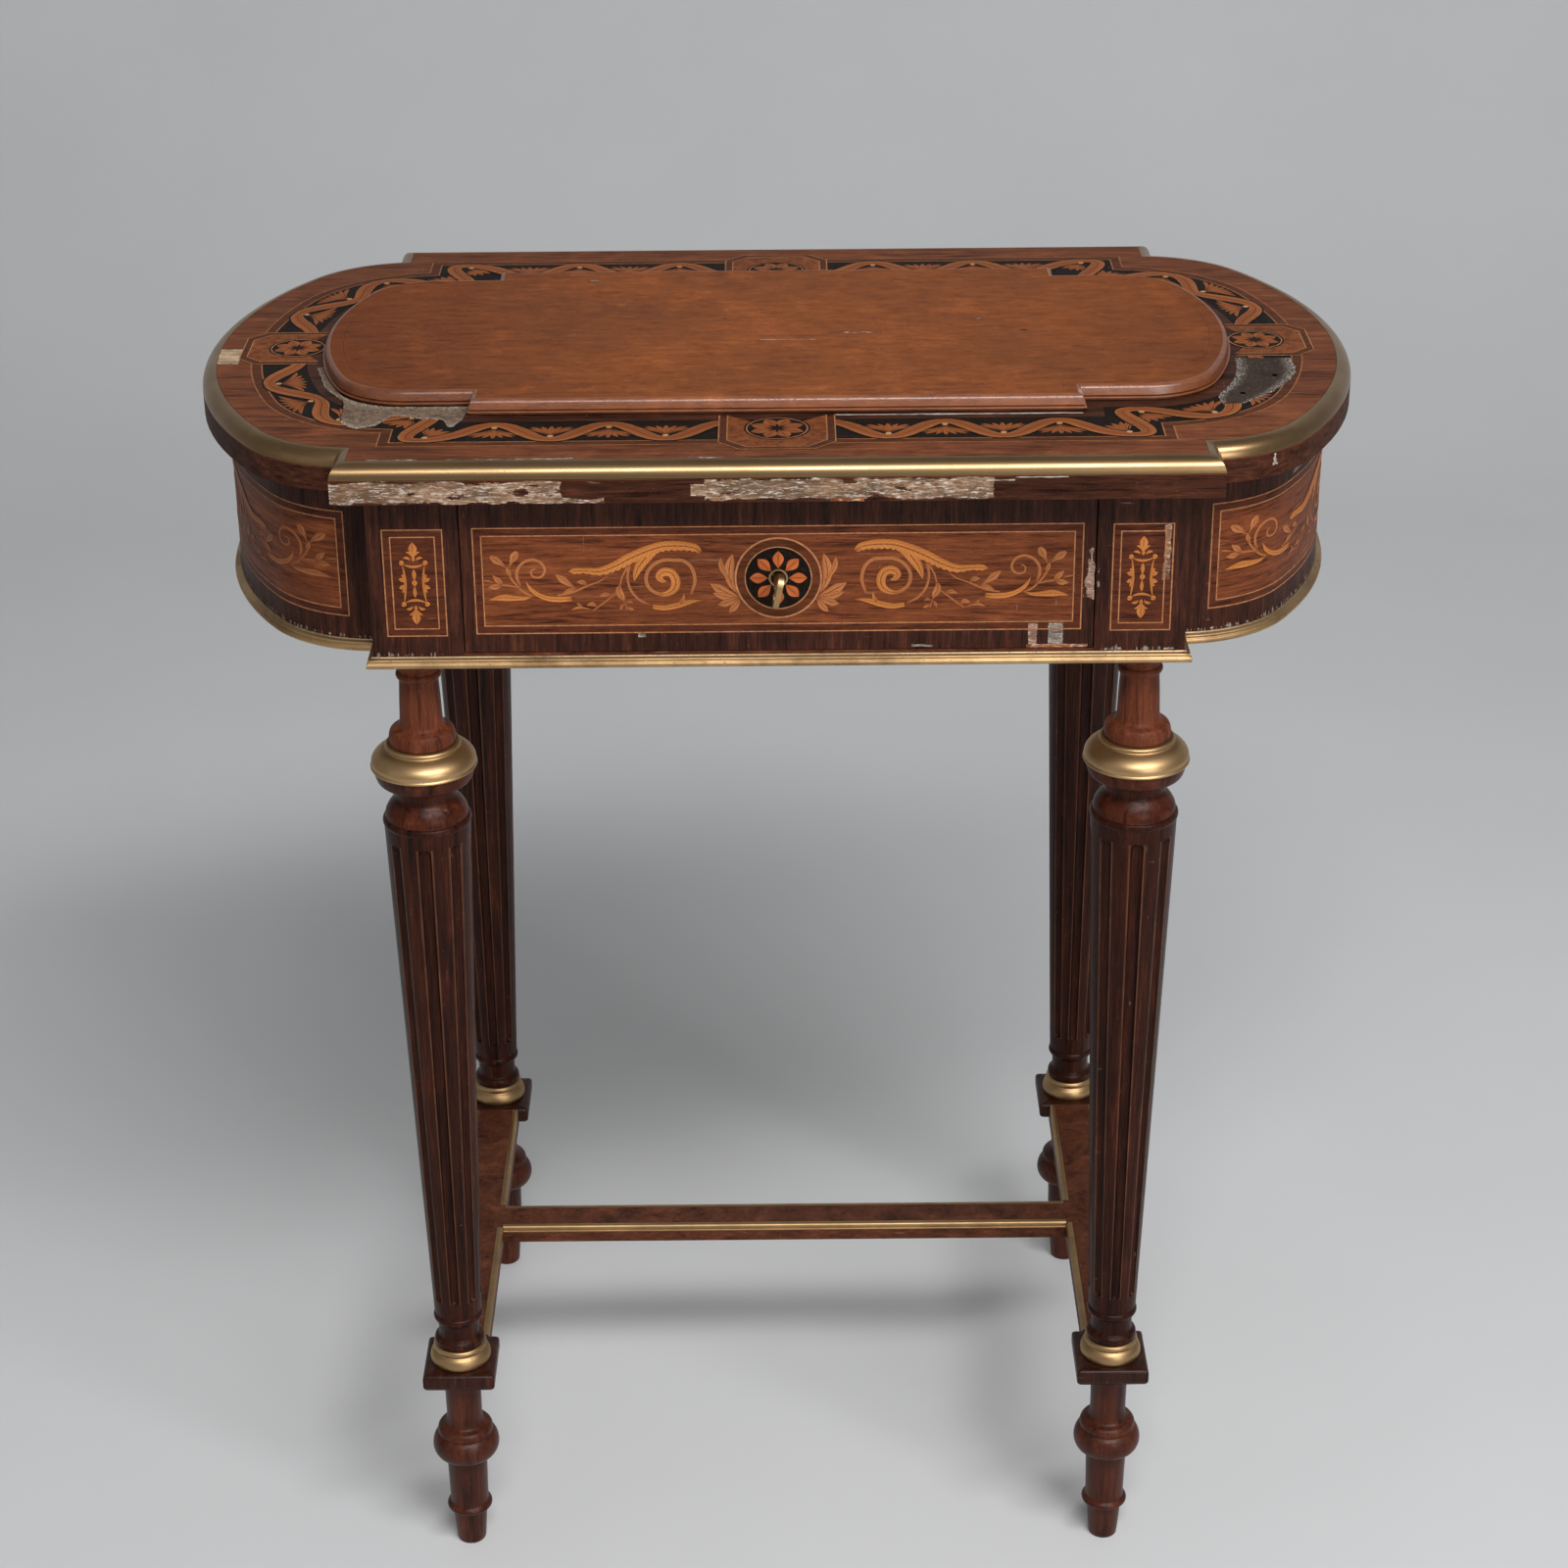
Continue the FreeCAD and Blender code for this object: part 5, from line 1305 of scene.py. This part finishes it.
PLUME = [
    (42, 15.4, 2.6), (44.2, 17.4, 4.4), (48.5, 18.6, 5.2), (54, 19.1, 5.8), (62, 18.8, 6.0), (70, 16.4, 6.4),
    (79.5, 12.2, 6.4), (88.5, 7.4, 5.8), (96.4, 4.6, 4.9), (105, 5.1, 3.4), (111.5, 4.9, 2.8), (113.3, 4.7, 0.4),
]
BRIGHT_LEAVES = [
    [(62, 18.6, 1), (68, 15.6, 5), (73.2, 10.2, 5.6), (76.2, 5.2, 4.2), (77.6, 1.2, 2.2), (78, -1.2, 0.2)],
    [
        (64.5, -9.2, 2), (60, -8.6, 3.2), (56.3, -5.6, 4.6), (55.6, -0.6, 5), (58, 3.4, 4.8), (62, 4, 4.8),
        (64.6, 1.4, 4), (62.8, -1.2, 2.4), (60.6, -1.6, 0.6),
    ],
    [(41.4, -12.9, 0.3), (46, -13.2, 1.8), (50, -14, 3), (56, -15.9, 3.4), (62.5, -17, 3), (68.3, -16.2, 2.6)],
    [(53.2, -14.4, 2.4), (51.6, -11.6, 1.6), (51.1, -8.7, 0.2)],
    [(112.2, -11.2, 2.8), (118, -11.5, 3.2), (124.6, -11, 3), (130.4, -8.6, 2.4), (134.4, -5, 1.8), (136.6, -1, 0.2)],
    [(133, -9.4, 0.4), (137.2, -10.6, 1.8), (143, -10.6, 3), (149, -10.2, 4), (153, -10.6, 2.4), (157.4, -11.6, 0.2)],
]
VOLUTE = [
    (47.5, -9.4, 1.2), (45.1, -0.8, 1.8), (47.9, 7.9, 1.9), (51.6, 10.6, 1.9), (55.9, 10.9, 1.9),
    (62.9, 10.7, 1.9), (68.7, 7.1, 1.9), (71.6, 1, 1.9), (70.5, -4.6, 1.9), (65.6, -8.6, 1.9), (60.4, -8.8, 1.9),
]
DULL_LEAVES = [
    [(85.3, -3, 0.4), (86.4, -5.4, 3), (86.2, -8, 4), (84.8, -10.6, 3.2), (83.9, -12.6, 0.4)],
    [(83.4, -14.2, 0.3), (80.8, -13.2, 1.6), (79.2, -14.2, 0.2)],
    [(82.8, -16, 0.3), (80, -17.6, 1.5), (78.4, -18.2, 0.2)],
    [(83.6, -13.8, 0.3), (85.4, -16.2, 1.5), (85.8, -18.2, 0.2)],
    [(90.2, -10, 0.3), (93.6, -8.8, 2.6), (97.2, -10, 0.3)],
    [(98.5, -16.2, 0.3), (101, -14.4, 2.6), (104.2, -15.2, 0.3)],
    [(101, -18.2, 0.5), (106, -16.6, 1), (109, -16.4, 1.6), (112.4, -17.6, 0.3)],
    [(106, -16.8, 0.3), (108.4, -14.6, 1.4), (109.6, -13.6, 0.2)],
    [(103.6, -3.2, 0.3), (106.2, -1.5, 2.8), (109.2, -1.4, 0.3)],
    [(109.6, -5.4, 0.4), (113.4, -2.6, 2.4), (116.8, 0.2, 4.2), (120.4, 3, 0.6)],
    [(108.5, -5.4, 0.5), (113, -6.2, 2.6), (117.4, -8.4, 0.3)],
    [(144.6, 1.6, 0.3), (145.8, 4.6, 2.6), (146.6, 7.8, 0.4)],
    [(145.9, 6.4, 0.4), (144.2, 10.2, 1.6), (142.4, 13.6, 4.6), (140.9, 16.6, 2)],
    [(146.8, 6.8, 0.4), (149.2, 9.4, 2), (152.4, 11.8, 4.4), (155.4, 14, 1.6)],
    [(149, -2.6, 0.4), (151.4, -0.4, 3.2), (154.6, 2.8, 0.4)],
    [(149.6, -3.2, 0.4), (153.4, -3.8, 3.6), (157.2, -4.2, 0.5)],
    [(153.6, -1.4, 0.4), (157, -0.4, 1.2), (160.2, 0.2, 0.3)],
    [(21.5, -11, 0.5), (27.5, -8.6, 4.2), (32.5, -5.8, 5), (37, -3, 0.3)],
    [(21.5, -11.2, 0.5), (27, -11, 3.6), (31.5, -9.8, 4), (35.5, -8.5, 0.3)],
    [(21.3, -11.6, 0.5), (26, -13.4, 3.8), (30, -14.8, 3.8), (33, -15.5, 0.3)],
    [(20.8, -12.2, 0.5), (23, -15.6, 3.2), (25.2, -18.2, 3.2), (27, -20, 0.3)],
    [(22.4, -9, 0.5), (25.6, -3, 3.6), (26.6, 4, 5.2), (25.6, 10, 4), (24.5, 14, 0.3)],
    [(25, -2, 0.4), (29.2, 3.6, 2.6), (30.8, 8, 3), (31, 12, 0.3)],
]
STEMS = [
    [(69.6, -15.4, 1), (75.3, -12.3, 1.3), (79.7, -6.9, 1.4), (81.5, 0.6, 1.3), (80.4, 7.6, 1.6)],
    [(80.4, 9, 1.6), (82.6, 5, 1.1), (84.5, 1.5, 0.9), (85.8, -3.6, 0.8)],
    [(84, -12.2, 0.8), (83.2, -15, 0.7), (82.3, -18.2, 0.5)],
    [(86.6, -7, 0.5), (91, -10.6, 0.8), (97.3, -15.6, 0.8), (101, -18.4, 0.6)],
    [(92.4, 2, 0.8), (97, -1.2, 0.8), (102.6, -3.3, 0.9), (108, -5.8, 1.2), (113, -7.9, 1.1), (120, -9.2, 0.8)],
    [(131.4, -9.8, 0.6), (137, -7.6, 1.2), (141.2, -3.6, 1.2), (144.8, 1.6, 1.2), (146.2, 6.4, 1.2)],
    [(139.5, -5.2, 0.6), (144.5, -3.4, 1), (149.4, -2.8, 1)],
    [
        (139.6, -3.6, 1), (141.2, 0.6, 1.5), (141.2, 4.8, 1.6), (138.2, 9.6, 1.6), (132, 11.6, 1.5),
        (127.6, 9.2, 1.4), (126.3, 4.8, 1.3), (129.2, 1.4, 1.1), (133.2, 2.4, 1), (133.4, 5.4, 0.9),
        (131.2, 6.4, 0.6),
    ],
]
BOTH_HANDS = np.array([(1, 1), (-1, 1)], float).reshape(2, 1, 1, 2)

# Each set of cuts with its lift in plies, its tones, the depth of its notches and its points along a cut
ARABESQUE = {
    "_leaves": [([PLUME], 3.4, [0.62], 0.3, 120), (BRIGHT_LEAVES, 2.2, [0.58, 0.66, 0.5], 0.0, 36)],
    "_buds": [(DULL_LEAVES, 2.28, [0.5, 0.42, 0.6], 0.0, 24)],
    "_stems": [([VOLUTE], 1.9, [0.62], 0.0, 90), (STEMS, 0.9, [0.45, 0.5, 0.4], 0.0, 48)],
}
Side = namedtuple("Side", "name place body facing")


def belt_inlay(side, part, sheets, finish):
    """Thin inlay of one side of the belt."""
    make_piece(side.name + part, sheets, finish, side.body, facing=side.facing)


def strokes(place, cuts, base, tones, notches, count):
    """Cut shapes through knots, each on its own layer, with their mirror images on the left."""
    sheets = []
    for number, knots in enumerate(cuts):
        shape, places = stroke(knots, notches, count)
        lift = base + stroke_step * (number % layer_turns)
        sheets.append(sheet(place(shape[None] * BOTH_HANDS, lift), uv=places, tone=tones[number % len(tones)]))
    return sheets


def arabesque(side, leaf, bud):
    """Leaf scroll of a panel: plume over a volute with a snail of leaf, sprays and buds, mirrored."""
    for (part, sets), finish in zip(ARABESQUE.items(), (leaf, bud, bud)):
        belt_inlay(side, part, [row for cut_set in sets for row in strokes(side.place, *cut_set)], finish)


def two_lines(place, low, high, gap):
    """Two thin lines round a rectangle, one inside the other."""
    lines = [rectangle_line(low + inset, high - inset, line_width) for inset in (0, gap)]
    return [closed(place(line, panel_line_lift)) for line in lines]


def panel_lines(side, half_length):
    """Two thin lines round a panel."""
    low, high = np.array((-half_length, panel_low)), np.array((half_length, panel_high))
    belt_inlay(side, "_lines", two_lines(side.place, low, high, line_spacing), stringing)


def panel_roundel(side, petal, hole):
    """Dark disc with two light rings and a flower of eight petals."""
    parts = [
        ("_disc", [(hole, disc_radius)], disc_lift, ebony),
        ("_band", [(disc_radius - disc_lap, rosette_radius)], disc_band_lift, border_wood),
        ("_rings", [(radius - half, radius + half) for radius, half in ROUNDEL_RINGS], disc_ring_lift, stringing),
    ]
    for part, rings, lift, finish in parts:
        belt_inlay(side, part, [closed(side.place(ring((0, 0), *radii), lift)) for radii in rings], finish)
    flower = petals(max(hole, petal_root), petal_tip, petal_width, petal_turn)
    belt_inlay(side, "_flower", [sheet(side.place(flower, layers(len(flower), flower_lift)), tone=0.6)], petal)


def stretched(side):
    """The same design on a bent end: drawn out from the outer end of the panel, and a little higher."""
    def placed(flat, lift):
        along = end_panel_half - (panel_half_length - np.abs(flat[..., 0])) * end_stretch
        return side.place(np.stack([along * np.sign(flat[..., 0]), flat[..., 1] + end_raise], -1), lift)
    return side._replace(place=placed)


end_raise, end_panel_margin = 0.002, 0.0155
end_panel_half = -end_length[0] - end_panel_margin
disc_radius, disc_lap, tube_hole = 0.0180, 0.0002, 0.0054
petal_root, petal_tip, petal_width, petal_turn = 0.0030, 0.0156, 0.0062, 90
ROUNDEL_RINGS = ((disc_radius, 0.0003), (rosette_radius, 0.0005))
drawer_side = Side("drawer", on_front, "drawer", front)
back_side = Side("back", on_back, "carcass", behind)
right_side = Side("right_end", on_end(1), "carcass", "out")
left_side = Side("left_end", on_end(-1), "carcass", "out")
for side in (drawer_side, back_side):
    panel_lines(side, panel_half_length)
for side in (right_side, left_side):
    panel_lines(side, end_panel_half)
arabesque(drawer_side, leaf_veneer, bud_veneer)
arabesque(stretched(right_side), leaf_veneer, bud_veneer)
arabesque(stretched(left_side), worn_veneer, worn_veneer)
panel_roundel(drawer_side, petal_veneer, tube_hole)
panel_roundel(right_side, petal_veneer, 0.0)
panel_roundel(left_side, worn_veneer, 0.0)

# Pilaster panels on the posts


def pilaster_cuts():
    """Strap cartouche with hollow sides, a palmette above and below, and buds at its middle and sides."""
    straps = [((hand * 6.4, 13), (hand * 6.4, -13), -0.055 * hand, 1.5) for hand in HANDS]
    straps += [((-6.6, s * 12), (6.6, s * 12), -0.17 * s, 1.5) for s in HANDS]
    buds = [((0, 0.6), (0, 8.4), 0.0, 2.2), ((0, -0.6), (0, -8.4), 0.0, 2.0), ((0, -2.2), (0, 2.2), 0.0, 3.0)]
    for hand in HANDS:
        buds += [((hand * 5.4, -0.2 * s), (hand * 8.6, 2.6 * s), 0.22 * hand * s, 2.4) for s in (1, -1)]
        buds += [((hand * 5.6, 1.6 * s), (hand * 7.0, 5.2 * s), 0.2 * hand * s, 1.8) for s in (1, -1)]
    for s in HANDS:
        buds += [((0, s * 12.4), (0, s * 15.6), 0.0, 2.0), ((0, s * 14.6), (0, s * 24.0), 0.0, 4.6)]
        for hand in HANDS:
            buds += [((hand * 0.6, s * 13.4), (hand * 4.0, s * 18.4), 0.3 * hand * s, 1.8)]
            buds += [((hand * 1.4, s * 12.6), (hand * 5.4, s * 14.8), 0.26 * hand * s, 1.6)]
    return straps, buds


def scaled(cuts):
    """Cuts in millimetres made metres."""
    return [(np.array(start) * MM, np.array(end) * MM, bow, width * MM) for start, end, bow, width in cuts]


def on_pilasters(place):
    """Placing on the two posts of a face."""
    return lambda flat, lift: place(np.stack([flat + (x * pilaster_x, pilaster_z - key_z) for x in HANDS]), lift)


pilaster_gap, knob_x, knob_y, knob_radius = 0.0042, 0.0064, 0.0121, 0.0014
pilaster_corner = np.array((pilaster_half, pilaster_half_height))
straps, buds = pilaster_cuts()
strap_shapes, bud_shapes = blades(scaled(straps), strap_swell), blades(scaled(buds), bud_swell)
knobs = np.stack([ring((x * knob_x, y * knob_y), 0, knob_radius, 18) for x in HANDS for y in HANDS])
front_posts = Side("pilaster", on_pilasters(on_front), "carcass", front)
back_posts = Side("pilaster", on_pilasters(on_back), "carcass", behind)
for row, posts in (("front", front_posts), ("back", back_posts)):
    lines = two_lines(posts.place, -pilaster_corner, pilaster_corner, pilaster_gap)
    belt_inlay(posts, "_lines_" + row, lines, stringing)
belt_inlay(front_posts, "_buds", [
    sheet(front_posts.place(bud_shapes, layers(len(bud_shapes), pilaster_bud_lift)), tone=0.55),
    sheet(front_posts.place(strap_shapes, layers(len(strap_shapes), strap_lift)), tone=0.6),
    closed(front_posts.place(knobs, knob_lift), 0.6),
], leaf_veneer)


# Stage, light and camera

floor_front, floor_back, floor_bend, floor_height, floor_half = -6, 1.6, 1.2, 6, 7


def stage_sheet():
    """Floor that curves up into a backdrop: flat, a quarter circle, then upright."""
    bend = np.linspace(0, np.pi / 2, 24)
    flat_run, wall = [floor_front, floor_back], [floor_back + floor_bend]
    depth = np.concatenate([flat_run, floor_back + floor_bend * np.sin(bend), wall])[:, None]
    height = np.concatenate([[0, 0], floor_bend - floor_bend * np.cos(bend), [floor_height]])[:, None]
    across = np.linspace(-floor_half, floor_half, 3)
    return np.stack([across + 0 * depth, depth + 0 * across, height + 0 * across], -1)


stage_points = stage_sheet()
stage_quads = cells(*stage_points.shape[:2])[:, ::-1]
floor_mesh = bpy.data.meshes.new("floor")
floor_mesh.from_pydata(stage_points.reshape(-1, 3).tolist(), [], stage_quads.tolist())
floor_mesh.shade_smooth()
floor_mesh.materials.append(floor_finish())
floor = bpy.data.objects.new("floor", floor_mesh)
bpy.context.scene.collection.objects.link(floor)

world = bpy.context.scene.world or bpy.data.worlds.new("studio")
bpy.context.scene.world = world
world.use_nodes = True
background = world.node_tree.nodes["Background"].inputs
background["Color"].default_value, background["Strength"].default_value = (0.97, 0.985, 1.0, 1), 0.24


def soft_light(name, place, target, size, power):
    """Area lamp of a width and height, turned to a target."""
    data = bpy.data.lights.new(name, "AREA")
    data.shape, data.energy = "RECTANGLE", power
    data.size, data.size_y = size
    lamp = bpy.data.objects.new(name, data)
    bpy.context.scene.collection.objects.link(lamp)
    back = unit(np.subtract(place, target))
    side = unit(np.cross(up, back))
    axes = np.stack([side, np.cross(back, side), back], 1)
    lamp.matrix_world = Matrix.Translation(place) @ Matrix(axes.tolist()).to_4x4()


soft_light("key_light", (0.8, -2.0, 3.1), (0, 0, 0.6), (2.6, 0.6), 105)
soft_light("front_light", (1.5, -3.0, 1.4), (0, 0, 0.5), (1.4, 1.4), 30)
soft_light("fill_light", (-2.4, -1.8, 1.5), (0, 0, 0.5), (2.0, 2.0), 3)

camera_place = (0.0021, -1.8138, 1.3437)
camera_pitch, camera_roll = math.radians(26.09), math.radians(-0.5)
camera_data = bpy.data.cameras.new("camera")
camera_data.sensor_width, camera_data.lens = 36.0, 74.85
camera = bpy.data.objects.new("camera", camera_data)
bpy.context.scene.collection.objects.link(camera)
ahead = np.array((0, math.cos(camera_pitch), -math.sin(camera_pitch)))
level, rise = np.array((1, 0, 0)), np.array((0, math.sin(camera_pitch), math.cos(camera_pitch)))
right = math.cos(camera_roll) * level + math.sin(camera_roll) * rise
upright = math.cos(camera_roll) * rise - math.sin(camera_roll) * level
camera_axes = Matrix(np.stack([right, upright, -ahead], 1).tolist()).to_4x4()
camera.matrix_world = Matrix.Translation(camera_place) @ camera_axes
bpy.context.scene.camera = camera
bpy.context.scene.view_settings.view_transform = "Standard"
